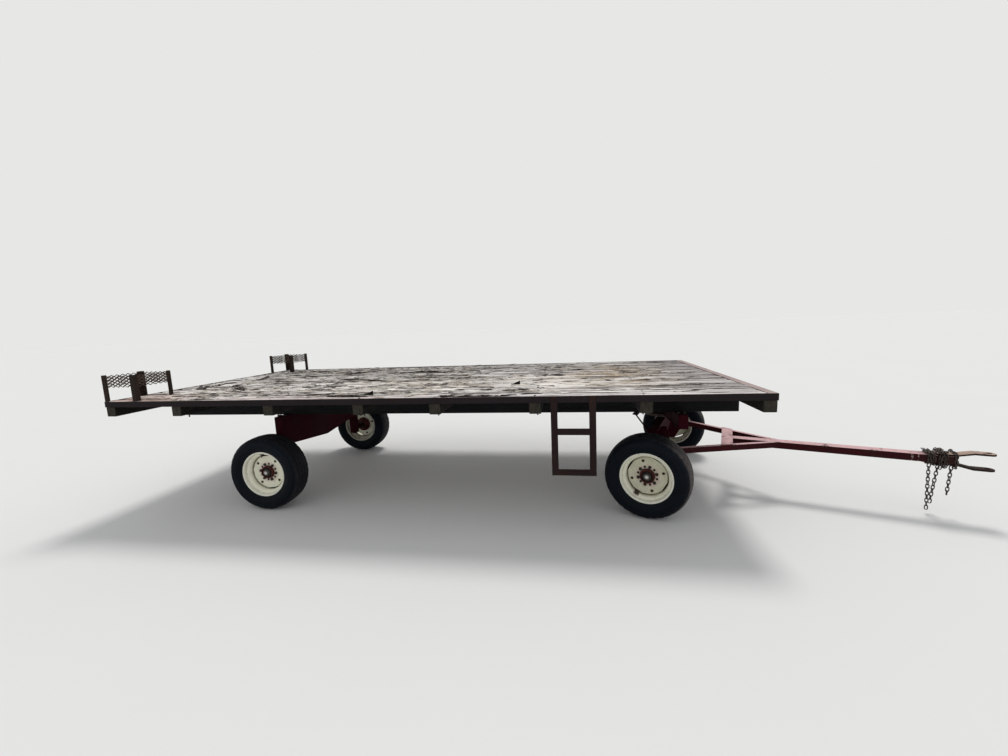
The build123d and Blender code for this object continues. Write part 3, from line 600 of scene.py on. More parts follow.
# Columns of a paint: name; base, worn and dust colours; how dusty, rusty and rough it is
# Columns of a steel: name; dark and light colours; how metallic and rough it is
MATERIALS = {
    "deck": deck_wood(),
    "splinter": splinter_wood(),
    # Painted shade: very dark timber colours for the shade under the deck
    "cross": wood("cross_timber", 1, dark=(0.0080, 0.0068, 0.0054), mid=(0.018, 0.015, 0.012),
                  pale=(0.040, 0.034, 0.026), end_grain=(0.036, 0.031, 0.022)),
    "sill": wood("sill_timber", 0, dark=(0.0022, 0.0028, 0.0040), mid=(0.0050, 0.0058, 0.0072),
                 pale=(0.013, 0.013, 0.014), end_grain=(0.036, 0.032, 0.026)),
    # Painted shade: dark paint colours for the shade on the sides of the rail and ladder
    "rail": paint("rail_paint", (0.023, 0.0175, 0.0195), (0.034, 0.020, 0.017), (0.46, 0.37, 0.35),
                  0.75, 0.36, 0.62, faded=(0.36, 0.275, 0.265)),
    "ladder": paint("ladder_paint", (0.026, 0.0150, 0.0145), (0.046, 0.024, 0.018), (0.26, 0.19, 0.17),
                    0.6, 0.45, 0.60, faded=(0.13, 0.085, 0.080)),
    "post": paint("post_paint", (0.030, 0.021, 0.016), (0.060, 0.036, 0.024), (0.30, 0.23, 0.20),
                  0.6, 0.55, 0.65, faded=(0.20, 0.13, 0.115)),
    "mesh": steel("mesh_rust", (0.030, 0.018, 0.013), (0.110, 0.067, 0.046), 0.10, 0.7),
    # Painted shade: dark paint and dust colours for the shade under the deck
    "gear": paint("gear_paint", (0.034, 0.0035, 0.0075), (0.020, 0.010, 0.009), (0.040, 0.020, 0.021),
                  0.5, 0.42, 0.55, gloss=0.03),
    "tongue": paint("tongue_paint", (0.044, 0.0045, 0.0068), (0.040, 0.019, 0.015), (0.62, 0.42, 0.40),
                    0.3, 0.40, 0.50, faded=(0.72, 0.45, 0.465), beyond=1.90),
    # Painted shade: the straps' lower half keeps its dark paint on top
    "strap": paint("strap_paint", (0.026, 0.014, 0.012), (0.042, 0.023, 0.018), (0.20, 0.14, 0.11),
                   0.15, 0.45, 0.60, faded=(0.46, 0.335, 0.275), shade_below=STRAP_MIDDLE),
    "steel": steel("worn_steel", (0.030, 0.019, 0.015), (0.14, 0.105, 0.085), 0.45, 0.50),
    "chain": steel("chain_rust", (0.012, 0.008, 0.007), (0.070, 0.044, 0.032), 0.4, 0.48),
    "tyre": tyre_rubber(),
    "cream": cream_enamel(),
    "hub": hub_paint(),
    "cap": cap_steel(),
    "bolt": steel("bolt_rust", (0.012, 0.008, 0.007), (0.050, 0.030, 0.023), 0.25, 0.55),
    # Painted shade: the near-black sheets behind the wheels' holes and slots
    "dark": steel("hole_shade", (0.004, 0.003, 0.003), (0.012, 0.009, 0.008), 0.0, 0.8),
}


# Making pieces

class Shape:
    """A mesh that grows from several closed parts."""

    def __init__(self, points=(), faces=()):
        self.points = []
        self.faces = []
        self.add(points, faces)

    def add(self, points, faces, place=None):
        start = len(self.points)
        for point in points:
            point = Vector(point)
            self.points.append(tuple(place @ point if place else point))
        self.faces += [tuple(start + index for index in face) for face in faces]

    def piece(self, name, body, material, replaces=(), smooth=35.0, place=None):
        mesh = bpy.data.meshes.new(name)
        mesh.from_pydata(self.points, [], self.faces)
        mesh.validate()
        return dress(new_object(name, mesh, place), body, material, replaces, smooth)


def dress(made, body, material, replaces=(), smooth=35.0):
    """Material, shading and body of a new piece, and the nodes that it hides."""
    mesh = made.data
    mesh.materials.clear()
    mesh.materials.append(MATERIALS[material])
    if smooth:
        mesh.shade_smooth()
        mesh.set_sharp_from_angle(angle=math.radians(smooth))
    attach(made, body)
    if replaces:
        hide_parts(*replaces)
    return made


def write_attribute(made, name, values):
    """A number on every point of a piece, for its material to read."""
    layer = made.data.attributes.new(name, "FLOAT", "POINT")
    layer.data.foreach_set("value", values)


def tube_faces(rings, sides, closed=False):
    """Faces of a tube whose points come ring by ring: closed to a loop, or with flat ends."""
    faces = []
    for ring in range(rings if closed else rings - 1):
        low, high = ring * sides, (ring + 1) % rings * sides
        for side in range(sides):
            after = (side + 1) % sides
            faces.append((low + side, low + after, high + after, high + side))
    if not closed:
        faces.append(tuple(range(sides))[::-1])
        faces.append(tuple(range((rings - 1) * sides, rings * sides)))
    return faces


def lathe(profile, steps, start=0.0, turn=math.tau, wave=None):
    """Points and faces of a profile of radius and y, turned about the Y axis; wave shifts y by angle."""
    whole = turn == math.tau
    rows = steps if whole else steps + 1
    points = []
    for row in range(rows):
        angle = start + turn * row / steps
        for index, (radius, y) in enumerate(profile):
            shift = wave(index, row) if wave else 0.0
            points.append((radius * math.cos(angle), y + shift, radius * math.sin(angle)))
    return points, tube_faces(rows, len(profile), whole)


def turned(start, axis, stations, sides):
    """Points and faces of a solid about an axis; a station is a place along the axis and a radius."""
    axis = Vector(axis).normalized()
    across = axis.orthogonal().normalized()
    other = axis.cross(across)
    points = []
    for along, radius in stations:
        for side in range(sides):
            angle = math.tau * side / sides
            out = across * math.cos(angle) + other * math.sin(angle)
            points.append(Vector(start) + axis * along + out * radius)
    return points, tube_faces(len(stations), sides)


def bar(start, end, radius, sides, cap):
    """Points and faces of a round bar, its ends drawn in by cap."""
    axis = Vector(end) - Vector(start)
    reach = axis.length
    stations = [(0.0, radius - cap), (cap, radius), (reach - cap, radius), (reach, radius - cap)]
    return turned(start, axis, stations, sides)


def hex_head(centre, axis, across, height):
    """Points and faces of a bolt head with a chamfered top."""
    radius = across / math.sqrt(3)
    return turned(centre, axis, [(0.0, radius), (0.8 * height, radius), (height, 0.82 * radius)], 6)


def dome(centre, axis, radius, height, sides, rings=3):
    """Points and faces of a low round head."""
    angles = [math.pi / 2 * ring / rings for ring in range(rings)]
    stations = [(height * math.sin(angle), radius * math.cos(angle)) for angle in angles]
    points, faces = turned(centre, axis, stations, sides)
    points.append(Vector(centre) + Vector(axis).normalized() * height)
    low = (rings - 1) * sides
    crown = [(low + side, low + (side + 1) % sides, len(points) - 1) for side in range(sides)]
    return points, faces[:-1] + crown


# The deck

def smooth_noise(x, y, seed):
    return noise.noise(Vector((x, y, seed)))


def step_up(value, low, high):
    """A smooth step from 0 to 1 while the value goes from low to high."""
    part = np.clip((value - low) / (high - low), 0.0, 1.0)
    return part * part * (3 - 2 * part)


# Gaps, holes and rotten patches seen in the photograph, sunk and given painted shade: a line's two ends, half
# width and depth
DARK_MARKS = (
    (-3.33, -0.54, -3.43, -0.29, 0.040, 0.020), (-3.31, -0.34, -3.43, -0.10, 0.034, 0.020),
    (-3.43, -0.10, -3.32, -0.04, 0.036, 0.018), (-3.10, -0.33, -2.80, -0.56, 0.044, 0.020),
    (-3.56, 0.85, -2.74, 0.93, 0.075, 0.020), (-2.73, 0.40, -2.46, 0.37, 0.060, 0.016),
    (-2.44, 0.69, -2.07, 0.65, 0.060, 0.018), (-2.00, 0.02, -1.50, -0.03, 0.038, 0.016),
    (-1.63, 0.56, -1.30, 0.60, 0.055, 0.020), (-1.34, 0.59, -1.16, 0.63, 0.085, 0.022),
    (-1.44, 0.14, -0.77, 0.02, 0.036, 0.014), (-1.70, -0.05, -1.46, -0.09, 0.034, 0.016),
    (-1.17, -0.185, -0.92, -0.205, 0.036, 0.014), (-2.26, -0.55, -1.82, -0.56, 0.034, 0.018),
    (-1.52, -1.07, -1.14, -1.06, 0.034, 0.014), (-0.52, -1.12, -0.44, -1.11, 0.034, 0.026),
    (-0.50, -1.12, -0.10, -1.14, 0.024, 0.022), (-0.11, -1.14, 0.26, -1.07, 0.017, 0.020),
    (-0.45, -0.84, 0.00, -0.88, 0.026, 0.014), (-0.03, -0.87, 0.10, -0.88, 0.050, 0.016),
    (0.195, 0.10, 0.395, 0.02, 0.048, 0.016), (0.557, 0.494, 0.59, 0.487, 0.060, 0.018),
    (1.084, 0.158, 1.142, 0.148, 0.044, 0.018), (1.25, -0.726, 1.70, -0.700, 0.024, 0.022),
    (1.423, -0.99, 1.440, -0.992, 0.022, 0.020), (-0.74, 0.00, -0.53, 0.00, 0.048, 0.012),
)

# Bare pale patches seen in the photograph, with the same columns
PALE_MARKS = (
    (-2.82, -0.70, -2.35, -0.62, 0.130, 0.007), (-3.15, -0.74, -2.90, -0.66, 0.110, 0.005),
    (-1.98, -0.66, -1.90, -0.48, 0.070, 0.006), (-1.45, -0.42, -0.70, -0.40, 0.075, 0.004),
)

# Raised flakes seen in the photograph
# Columns: x and y of the root, length, width, heading in degrees, rise, curl, how much painted shade it
# carries
CHIPS = (
    (-0.030, -0.580, 0.078, 0.050, 0.0, 0.034, 1.3, 1.0),
    (-1.490, -1.030, 0.345, 0.017, 1.0, 0.034, 8.0, 1.0),
    (0.250, -1.025, 0.700, 0.034, 184.0, 0.014, 1.0, 0.25),
    (-3.175, 0.130, 0.200, 0.050, 96.0, 0.026, 1.3, 0.9),
    (-1.200, -0.175, 0.270, 0.030, -6.0, 0.016, 1.3, 0.8),
    (-2.000, -0.640, 0.130, 0.026, 20.0, 0.022, 1.3, 0.1),
    (-1.900, -0.560, 0.120, 0.024, 160.0, 0.024, 1.3, 0.7),
    (-1.950, -0.420, 0.110, 0.022, 40.0, 0.018, 1.3, 0.0),
    (-3.340, -0.500, 0.120, 0.050, 130.0, 0.022, 1.3, 0.9),
    (-3.080, -0.360, 0.200, 0.040, -38.0, 0.018, 1.3, 0.9),
    (-2.600, -0.560, 0.240, 0.030, 176.0, 0.014, 1.3, 0.0),
    (-1.820, -0.555, 0.300, 0.026, 182.0, 0.013, 1.3, 0.6),
)


class Plank:
    """One plank's top as a grid: how far each point lies below the deck, how fresh it is, and how much
    painted shade its hollows get.
    """

    def __init__(self, number, draw):
        self.number = number
        self.draw = draw
        self.low_y = DECK_LOW.y + number * BOARD_PITCH
        self.width = BOARD_PITCH - BOARD_GAP
        self.seed = 11.3 * number + 2.1
        self.xs = np.linspace(DECK_LOW.x, DECK_HIGH.x, PLANK_ROWS + 1)
        self.across = np.linspace(0.0, 1.0, PLANK_LINES + 1)
        self.x_of, self.v_of = np.meshgrid(self.xs, self.across, indexing="ij")

    def grid(self, number_at):
        return np.array([[number_at(x, v) for v in self.across] for x in self.xs])

    def relief(self, scale_x, scale_y, offset):
        seed = self.seed + offset
        return self.grid(lambda x, v: smooth_noise(x * scale_x, v * self.width * scale_y, seed))

    def wear(self):
        """Ridges, bow, cupping, worn edges and the torn-off surface."""
        ridge = self.relief(1.6, 80.0, 0.0) + 0.6 * self.relief(5.0, 150.0, 9.0)
        torn = self.relief(1.5, 12.0, 60.0) + 0.6 * self.relief(5.0, 32.0, 80.0)
        bow = 0.002 * self.grid(lambda x, v: smooth_noise(x * 0.8, 0.0, self.seed + 40))
        nibble = self.grid(lambda x, v: smooth_noise(x * 3.1, 3.0 if v < 0.5 else 8.0, self.seed + 5))
        edge = np.minimum(self.v_of, 1 - self.v_of) * self.width
        cup = self.draw.uniform(-0.003, 0.004) * 0.8 * (1 - 4 * (self.v_of - 0.5) ** 2)
        less = 1.0 - 0.75 * step_up(self.x_of, -0.2, 0.7)
        lifted = step_up(torn, 0.10, 0.17) * less
        self.drop = 0.0030 - 0.0018 * ridge + bow + cup + 0.0075 * lifted
        self.drop += 0.005 * np.clip(1 - edge / 0.012, 0, None) ** 2
        self.drop += np.clip(nibble - 0.22, 0, None) * 0.06 * np.clip(1 - edge / 0.024, 0, None)
        self.fresh = 0.85 * lifted
        # Painted shade along the edges of the torn patches
        self.hollow_shade = 0.55 * step_up(torn, 0.02, 0.09) * (1 - step_up(torn, 0.09, 0.14)) * less
        self.side = 0.010 * self.relief(0.7, 3.4, 20.0) * 4 * self.v_of * (1 - self.v_of)
        self.ragged = self.relief(9.0, 30.0, 33.0)

    def tear(self):
        """A strip torn off along the grain, more often over the rear half."""
        draw = self.draw
        rear = draw.random() < 0.6
        start = draw.uniform(DECK_LOW.x, -0.4) if rear else draw.uniform(-1.2, DECK_HIGH.x - 0.5)
        reach = draw.uniform(0.18, 1.0)
        first = draw.randrange(2, PLANK_LINES - 9)
        depth = draw.uniform(0.003, 0.009)
        for line in range(first, min(PLANK_LINES, first + draw.randrange(3, 11))):
            ends = (start + draw.uniform(0.0, 0.13), start + reach - draw.uniform(0.0, 0.16))
            inside = (self.xs > ends[0]) & (self.xs < ends[1])
            self.drop[inside, line] += depth
            self.fresh[inside, line] = 1.0

    def split(self):
        """An open split along the grain, with painted shade inside."""
        start = self.draw.uniform(DECK_LOW.x, DECK_HIGH.x - 0.4)
        reach = self.draw.uniform(0.25, 1.5)
        line = self.draw.randrange(3, PLANK_LINES - 3)
        depth = self.draw.uniform(0.008, 0.024)
        inside = (self.xs > start) & (self.xs < start + reach)
        shape = np.where(inside, np.sin(math.pi * np.clip((self.xs - start) / reach, 0, 1)) ** 0.6, 0.0)
        self.drop[:, line] += depth * shape
        for place, part in ((line, 1.0), (line - 1, 0.8), (line + 1, 0.8)):
            self.hollow_shade[:, place] = np.maximum(self.hollow_shade[:, place], part * shape)
        self.side[:, line - 1] -= 0.0015 * shape
        self.side[:, line + 1] += 0.0015 * shape

    def mark(self, rows, dark):
        """Gaps and patches round lines given in the deck's own x and y."""
        for x0, y0, x1, y1, half, depth in rows:
            run = (x1 - x0, y1 - y0)
            off = (self.x_of - x0, self.y_of - y0)
            along = np.clip((off[0] * run[0] + off[1] * run[1]) / (run[0] ** 2 + run[1] ** 2), 0.0, 1.0)
            away = np.hypot(off[0] - along * run[0], off[1] - along * run[1])
            reach = 1.15 + 0.9 * self.ragged - away / half
            inside = step_up(reach, 0.0, 0.35)
            self.drop += depth * inside
            # Dark marks get painted shade, the others pale raw wood
            if dark:
                self.hollow_shade = np.maximum(self.hollow_shade, step_up(reach, -0.16, 0.06))
            else:
                self.fresh = np.maximum(self.fresh, inside)

    def build(self):
        """The closed mesh: the worn top, plain sides and ends, and a flat underside."""
        self.wear()
        for _ in range(NEAR_TEARS if self.number < NEAR_PLANKS else FAR_TEARS):
            self.tear()
        for _ in range(self.draw.randrange(8, 13)):
            self.split()
        self.y_of = self.low_y + self.width * self.v_of + self.side
        self.mark(DARK_MARKS, dark=True)
        self.mark(PALE_MARKS, dark=False)

        tops = DECK_TOP - np.clip(self.drop, SHALLOWEST, DEEPEST)
        points = list(zip(self.x_of.ravel(), self.y_of.ravel(), tops.ravel()))
        base = len(points)
        below = [(x, y, DECK_LOW.z) for x in self.xs for y in (self.low_y, self.low_y + self.width)]
        line_count = PLANK_LINES + 1
        faces = []
        for row in range(PLANK_ROWS):
            start = row * line_count
            for corner in range(start, start + PLANK_LINES):
                faces.append((corner, corner + line_count, corner + line_count + 1, corner + 1))
            under = base + 2 * row
            faces.append((under, under + 2, start + line_count, start))
            faces.append((under + 3, under + 1, start + PLANK_LINES, start + PLANK_LINES + line_count))
            faces.append((under, under + 1, under + 3, under + 2))
        faces.append((*range(line_count), base + 1, base))
        last = base + 2 * PLANK_ROWS
        faces.append((*reversed(range(base - line_count, base)), last, last + 1))
        shape = Shape(points + below, faces)
        made = shape.piece(f"deck_plank_{self.number:02d}", "bed", "deck", ["deck_boards"], smooth=50.0)
        for name, values in (("fresh", self.fresh), ("hollow_shade", self.hollow_shade)):
            write_attribute(made, name, list(values.ravel()) + [0.0] * len(below))


def directions(heading):
    """The way along a heading in degrees, and the way across it."""
    turn = math.radians(heading)
    way = Vector((math.cos(turn), math.sin(turn), 0))
    return way, Vector((-way.y, way.x, 0))


def section(centre, side, top, low, high):
    """Four corners of a section: a lower edge, and an upper edge that is narrower by the factor top."""
    return [centre - side + UP * low, centre + side + UP * low,
            centre + side * top + UP * high, centre - side * top + UP * high]


def flake(shape, x, y, length, width, heading, rise, curl, draw):
    """A flake rooted in a plank, its free end raised, and closed down to the plank below."""
    steps = 9
    way, across = directions(heading)
    points = []
    for step in range(steps + 1):
        along = step / steps
        wide = width / 2 * (1 - 0.55 * along ** 3) * (1 + draw.uniform(-0.15, 0.15))
        centre = Vector((x, y, DECK_TOP - 0.008)) + way * length * along
        points += section(centre, across * wide, 0.7, 0.0, 0.006 + rise * along ** curl)
    shape.add(points, tube_faces(steps + 1, 4))


def sliver(shape, x, y, length, width, heading, lift, thick, bend, draw):
    """A tapering splinter that is rooted at one end and rises to its free end."""
    steps = 5
    way, across = directions(heading)
    points = []
    for step in range(steps + 1):
        along = step / steps
        rise = length * along * math.sin(math.radians(lift)) * (0.55 + 0.45 * along)
        wide = width / 2 * (1 - 0.82 * along ** 1.6) * (1 + draw.uniform(-0.12, 0.12))
        half = thick * (1 - 0.6 * along) / 2
        centre = Vector((x, y, DECK_TOP - 0.003)) + way * length * along + UP * rise
        points += section(centre + across * bend * along ** 2, across * wide, 0.8, -half, half)
    shape.add(points, tube_faces(steps + 1, 4))


def splinters():
    """Slivers torn up from the planks, most of them over the rear half, and the larger flakes."""
    draw = random.Random(41)
    shape = Shape()
    for _ in range(SLIVER_COUNT):
        rear = draw.random() < 0.72
        x = draw.uniform(DECK_LOW.x + 0.35, -0.6) if rear else draw.uniform(-0.8, DECK_HIGH.x - 0.3)
        y = draw.uniform(DECK_LOW.y + 0.04, DECK_HIGH.y - 0.04)
        if draw.random() < 0.4:
            y = DECK_LOW.y + BOARD_PITCH * draw.randrange(1, BOARD_COUNT)
            y += draw.choice((-1, 1)) * draw.uniform(0.008, 0.02)
        heading = draw.choice((0.0, 180.0)) + draw.uniform(-7, 7)
        length = draw.uniform(0.05, 0.28)
        sliver(shape, x, y, length, draw.uniform(0.005, 0.022), heading, draw.uniform(1.0, 7.0),
               draw.uniform(0.002, 0.007), draw.uniform(-0.012, 0.012), draw)
    shape.piece("deck_splinters", "bed", "splinter", smooth=30.0)
    chips = Shape()
    dark = []
    # Each flake carries its painted shade as a number on its points
    for *form, flake_shade in CHIPS:
        flake(chips, *form, draw)
        dark += [flake_shade] * (len(chips.points) - len(dark))
    write_attribute(chips.piece("deck_chips", "bed", "deck", smooth=30.0), "hollow_shade", dark)


def deck():
    """The planks, their splinters, and the bolts that hold them on the cross timbers."""
    draw = random.Random(7)
    for number in range(BOARD_COUNT):
        Plank(number, draw).build()
    splinters()
    heads = Shape()
    tips = Shape()
    member_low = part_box("cross_members")[0].z
    for place in CROSS_PLACES[1:-1]:
        for number in range(BOARD_COUNT):
            for side in BOLTS_ACROSS:
                x = REAR_X + place + draw.uniform(-0.022, 0.022)
                y = DECK_LOW.y + BOARD_PITCH * (number + side) + draw.uniform(-0.01, 0.01)
                heads.add(*dome((x, y, DECK_TOP - 0.005), UP, 0.010, 0.0042, 10))
        for side in (-1, 1):
            for inset, down in BOLT_ENDS:
                x = REAR_X + place + draw.uniform(-0.012, 0.012)
                y = side * (DECK_HIGH.y - inset)
                tips.add(*bar((x, y, member_low + 0.002), (x, y, member_low - down), 0.0055, 8, 0.001))
                tips.add(*hex_head((x, y, member_low + 0.0005), -UP, 0.019, 0.009))
    heads.piece("deck_bolt_heads", "bed", "bolt")
    tips.piece("deck_bolt_ends", "bed", "bolt")


# Wheels, built about the Y axis with the outer face towards +Y

def tyre_profile():
    """The tyre's section, with four straight grooves in the tread: one half, then its mirror image."""
    side = [
        (0.196, 0.080), (0.2035, 0.0865), (0.2105, 0.0895), (0.2150, 0.0935), (0.2190, 0.0965),
        (0.2215, 0.0980), (0.2250, 0.0988), (0.2340, 0.1035), (0.2470, 0.1088), (0.2590, 0.1120),
        (0.2620, 0.1136), (0.2655, 0.1139), (0.2680, 0.1132), (0.2800, 0.1148), (0.2910, 0.1150),
        (0.2990, 0.1140), (0.3015, 0.1144), (0.3050, 0.1131), (0.3072, 0.1108), (0.3150, 0.1066),
        (0.3225, 0.1005), (0.3280, 0.0945), (0.3325, 0.0880), (0.3350, 0.0835),
    ]
    wide, slope = 0.0045, 0.0016
    for middle, depth in ((0.0620, 0.0085), (0.0212, 0.0090)):
        for offset, sunk in ((wide, 0.0), (wide - slope, depth), (slope - wide, depth), (-wide, 0.0)):
            y = middle + offset
            side.append((TYRE_RADIUS - 0.0070 * (y / 0.083) ** 2 - sunk, y))
    return side + [(radius, -y) for radius, y in reversed(side)]


def tyre_mesh():
    """The tyre, its rib edges slightly wavy and its shoulders cut by short slots."""
    profile = tyre_profile()
    rows = list(enumerate(profile))
    ribs = {index for index, (radius, y) in rows if abs(y) < 0.068}
    shoulder = {index for index, (radius, y) in rows if 0.083 < abs(y) < 0.101 and radius > 0.31}

    def wave(index, row):
        return 0.0011 * math.sin(row * math.tau / WAVE_STEPS) if index in ribs else 0.0

    points, faces = lathe(profile, TYRE_STEPS, wave=wave)
    for place, (x, y, z) in enumerate(points):
        row, index = divmod(place, len(profile))
        if index in shoulder and row % WAVE_STEPS == 0:
            left = 1 - 0.0042 / math.hypot(x, z)
            points[place] = (x * left, y, z * left)
    return Shape(points, faces)


def rim_mesh():
    """The rolled rim with its lips and well, and the disc's pressed flank between its four slots."""
    sheet = [
        (0.2085, 0.0850), (0.2102, 0.0895), (0.2098, 0.0925), (0.2080, 0.0943), (0.2050, 0.0950),
        (0.2015, 0.0945), (0.1982, 0.0925), (0.1960, 0.0890), (0.1945, 0.0850), (0.1932, 0.0800),
        (0.1915, 0.0660), (0.1900, 0.0625), (0.1865, 0.0600), (0.1800, 0.0565), (0.1730, 0.0505),
        (0.1685, 0.0430), (0.1665, 0.0360), (0.1655, 0.0150),
    ]
    inner = sheet + [(radius, -y) for radius, y in reversed(sheet)]
    outer = [(radius + 0.0045, y) for radius, y in reversed(inner[5:-5])]
    shape = Shape(*lathe(inner + outer, 120))
    # Columns: radius, how far behind the disc's face
    rows = (
        (0.1450, 0.0), (0.1490, 0.0004), (0.1530, 0.0022), (0.1570, 0.0062), (0.1605, 0.0120),
        (0.1650, 0.0175), (0.1665, 0.0185), (0.1665, 0.0240), (0.1610, 0.0220), (0.1545, 0.0125),
        (0.1450, 0.0080),
    )
    flank = [(radius, DISC_Y - back) for radius, back in rows]
    for quarter in range(4):
        shape.add(*lathe(flank, 24, SLOT_MIDDLE + QUARTER * quarter + SLOT_HALF, QUARTER - 2 * SLOT_HALF))
    return shape


def circle_of(radius, count, start=0.0):
    """Evenly spaced points of a circle as pairs."""
    angles = [start + math.tau * step / count for step in range(count)]
    return [(radius * math.cos(angle), radius * math.sin(angle)) for angle in angles]


def disc_mesh(name):
    """The flat of the wheel disc, cut as a filled curve with round holes and flats at its four slots."""
    curve = bpy.data.curves.new(name, "CURVE")
    curve.dimensions = "2D"
    curve.fill_mode = "BOTH"
    curve.extrude = 0.0028
    curve.bevel_depth = 0.0014
    curve.bevel_resolution = 1

    def ring(points, centre=(0.0, 0.0)):
        spline = curve.splines.new("POLY")
        spline.points.add(len(points) - 1)
        for point, (x, y) in zip(spline.points, points):
            point.co = (centre[0] + x, centre[1] + y, 0, 1)
        spline.use_cyclic_u = True

    round_edge, flat_edge, hub_hole = 0.1465, 0.1500, 0.0600
    outer = []
    for x, y in circle_of(1.0, 144):
        away = (math.atan2(y, x) - SLOT_MIDDLE + QUARTER / 2) % QUARTER - QUARTER / 2
        radius = flat_edge / math.cos(away) if abs(away) < SLOT_HALF else round_edge
        outer.append((radius * x, radius * y))
    ring(outer)
    ring(circle_of(hub_hole, 48))
    # Columns: the circle that the holes stand on, their number, a hole's radius
    for circle, count, hole in ((LUG_CIRCLE, 6, 0.0092), (HOLE_CIRCLE, 4, 0.0084)):
        for centre in circle_of(circle, count):
            ring(circle_of(hole, 18), centre)
    holder = new_object(name, curve)
    mesh = bpy.data.meshes.new_from_object(holder.evaluated_get(bpy.context.evaluated_depsgraph_get()))
    bpy.data.objects.remove(holder)
    mesh.transform(Matrix.Translation((0, DISC_Y - 0.0042, 0)) @ Matrix.Rotation(math.radians(90), 4, "X"))
    return mesh


def hub_mesh():
    """The hub's nose with a sunk ring round the cap, and the drum and flange behind the disc."""
    back = [(0.0241, -0.051), (0.053, -0.051), (0.0588, -0.046), (0.0588, -0.010), (0.062, -0.008),
            (0.088, -0.006), (0.0915, -0.003), (0.0915, 0.0020), (0.0588, 0.0020)]
    # Columns: radius, how far behind the nose
    rows = ((0.0588, 0.005), (0.0565, 0.001), (0.0535, 0.0), (0.0500, 0.0008), (0.0478, 0.0045),
            (0.0465, 0.0075), (0.0375, 0.0080), (0.0360, 0.0070), (0.0345, 0.0085), (0.0241, 0.010))
    return Shape(*lathe(back + [(radius, DISC_Y + HUB_NOSE - behind) for radius, behind in rows], 56))


def cap_mesh():
    """The dust cap's dome, pressed into the nose, with a small rolled rim."""
    # Columns: radius, how far before the nose
    rows = ((0.0, -0.010), (0.0328, -0.010), (0.0339, -0.0060), (0.0338, -0.0030), (0.0322, -0.0010),
            (0.0315, 0.0030), (0.0300, 0.0070), (0.0268, 0.0104), (0.0215, 0.0128), (0.0145, 0.0142),
            (0.0065, 0.0148), (0.0, 0.0149))
    return Shape(*lathe([(radius, DISC_Y + HUB_NOSE + before) for radius, before in rows], 36))


def lug_mesh():
    """Six lug bolts with short studs, and the valve in the rim's well at one slot."""
    shape = Shape()
    for x, z in circle_of(LUG_CIRCLE, 6, math.radians(30.0)):
        shape.add(*bar((x, DISC_Y - 0.001, z), (x, DISC_Y + 0.0030, z), 0.0132, 16, 0.001))
        shape.add(*hex_head((x, DISC_Y + 0.0025, z), (0, 1, 0), 0.0215, 0.0125))
        shape.add(*bar((x, DISC_Y + 0.0115, z), (x, DISC_Y + 0.0175, z), 0.0065, 8, 0.0012))
    way = Vector((math.cos(SLOT_MIDDLE), 0, math.sin(SLOT_MIDDLE)))
    foot = way * VALVE_RADIUS + Vector((0, 0.0465, 0))
    lean = way * -0.70 + Vector((0, 0.71, 0))
    shape.add(*dome(foot, lean, 0.0145, 0.0085, 14))
    shape.add(*bar(foot, foot + lean * 0.026, 0.0050, 10, 0.001))
    return shape


def plug_mesh(slots):
    """Dark sheets of painted shade close behind the disc's ten round holes and, where slots is true, its four
    slots.
    """
    shape = Shape()
    for x, z in circle_of(LUG_CIRCLE, 6) + circle_of(HOLE_CIRCLE, 4):
        shape.add(*bar((x, DISC_Y - 0.0115, z), (x, DISC_Y - 0.0076, z), 0.0120, 16, 0.001))
    # Columns: radius, how far behind the disc's face
    rows = ((0.1400, 0.0090), (0.1664, 0.0200), (0.1664, 0.0225), (0.1400, 0.0115))
    strip = [(radius, DISC_Y - back) for radius, back in rows]
    half = SLOT_HALF + 0.03
    for quarter in range(4 if slots else 0):
        shape.add(*lathe(strip, 20, SLOT_MIDDLE + QUARTER * quarter - half, 2 * half))
    return shape


def wheels():
    """Four wheels, each turned to its own place about its axle."""
    # Columns: start of the piece's name, shape, material, nodes that it replaces
    shared = (
        ("tyre_tread", tyre_mesh(), "tyre", ["tyre"]), ("rim_sheet", rim_mesh(), "cream", ["rim"]),
        ("hub_nose", hub_mesh(), "hub", ["hub"]), ("hub_cap", cap_mesh(), "cap", []),
        ("lug_bolts", lug_mesh(), "bolt", []),
    )
    # Columns: end, side, way its outer face looks, turn about the axle in degrees
    rows = (
        ("rear", "right", -1, -38.0), ("rear", "left", 1, 75.0),
        ("front", "right", -1, 106.0), ("front", "left", 1, 201.0),
    )
    for end, side, way, degrees in rows:
        joint = JOINTS[f"roll_{end}_{side}"]
        axis = Vector(joint["axis"]).normalized() * way
        place = frame_of(axis.cross(UP).normalized(), axis, UP, joint["pos_m"])
        tail = f"{end}_{side}"
        body = f"wheel_{tail}"
        pieces = [
            shape.piece(f"{name}_{tail}", body, material, [f"{node}_{tail}" for node in nodes], place=place)
            for name, shape, material, nodes in shared
        ]
        disc = new_object(f"rim_disc_{tail}", disc_mesh(f"rim_disc_{tail}"), place)
        pieces.append(dress(disc, body, "cream"))
        # Painted shade: dark sheets behind the holes, and behind the slots of the right wheels only
        backs = plug_mesh(side == "right")
        pieces.append(backs.piece(f"hole_shade_backs_{tail}", body, "dark", place=place))
        turn = math.radians(degrees)
        for made in pieces:
            made.data.transform(Matrix.Rotation(turn, 4, "Y"))
            # The rear wheels carry a number for their painted sunlight
            for name, value in (("turn", turn), ("painted_sun", 1.0 if end == "rear" else 0.0)):
                write_attribute(made, name, [value] * len(made.data.vertices))


# Chains

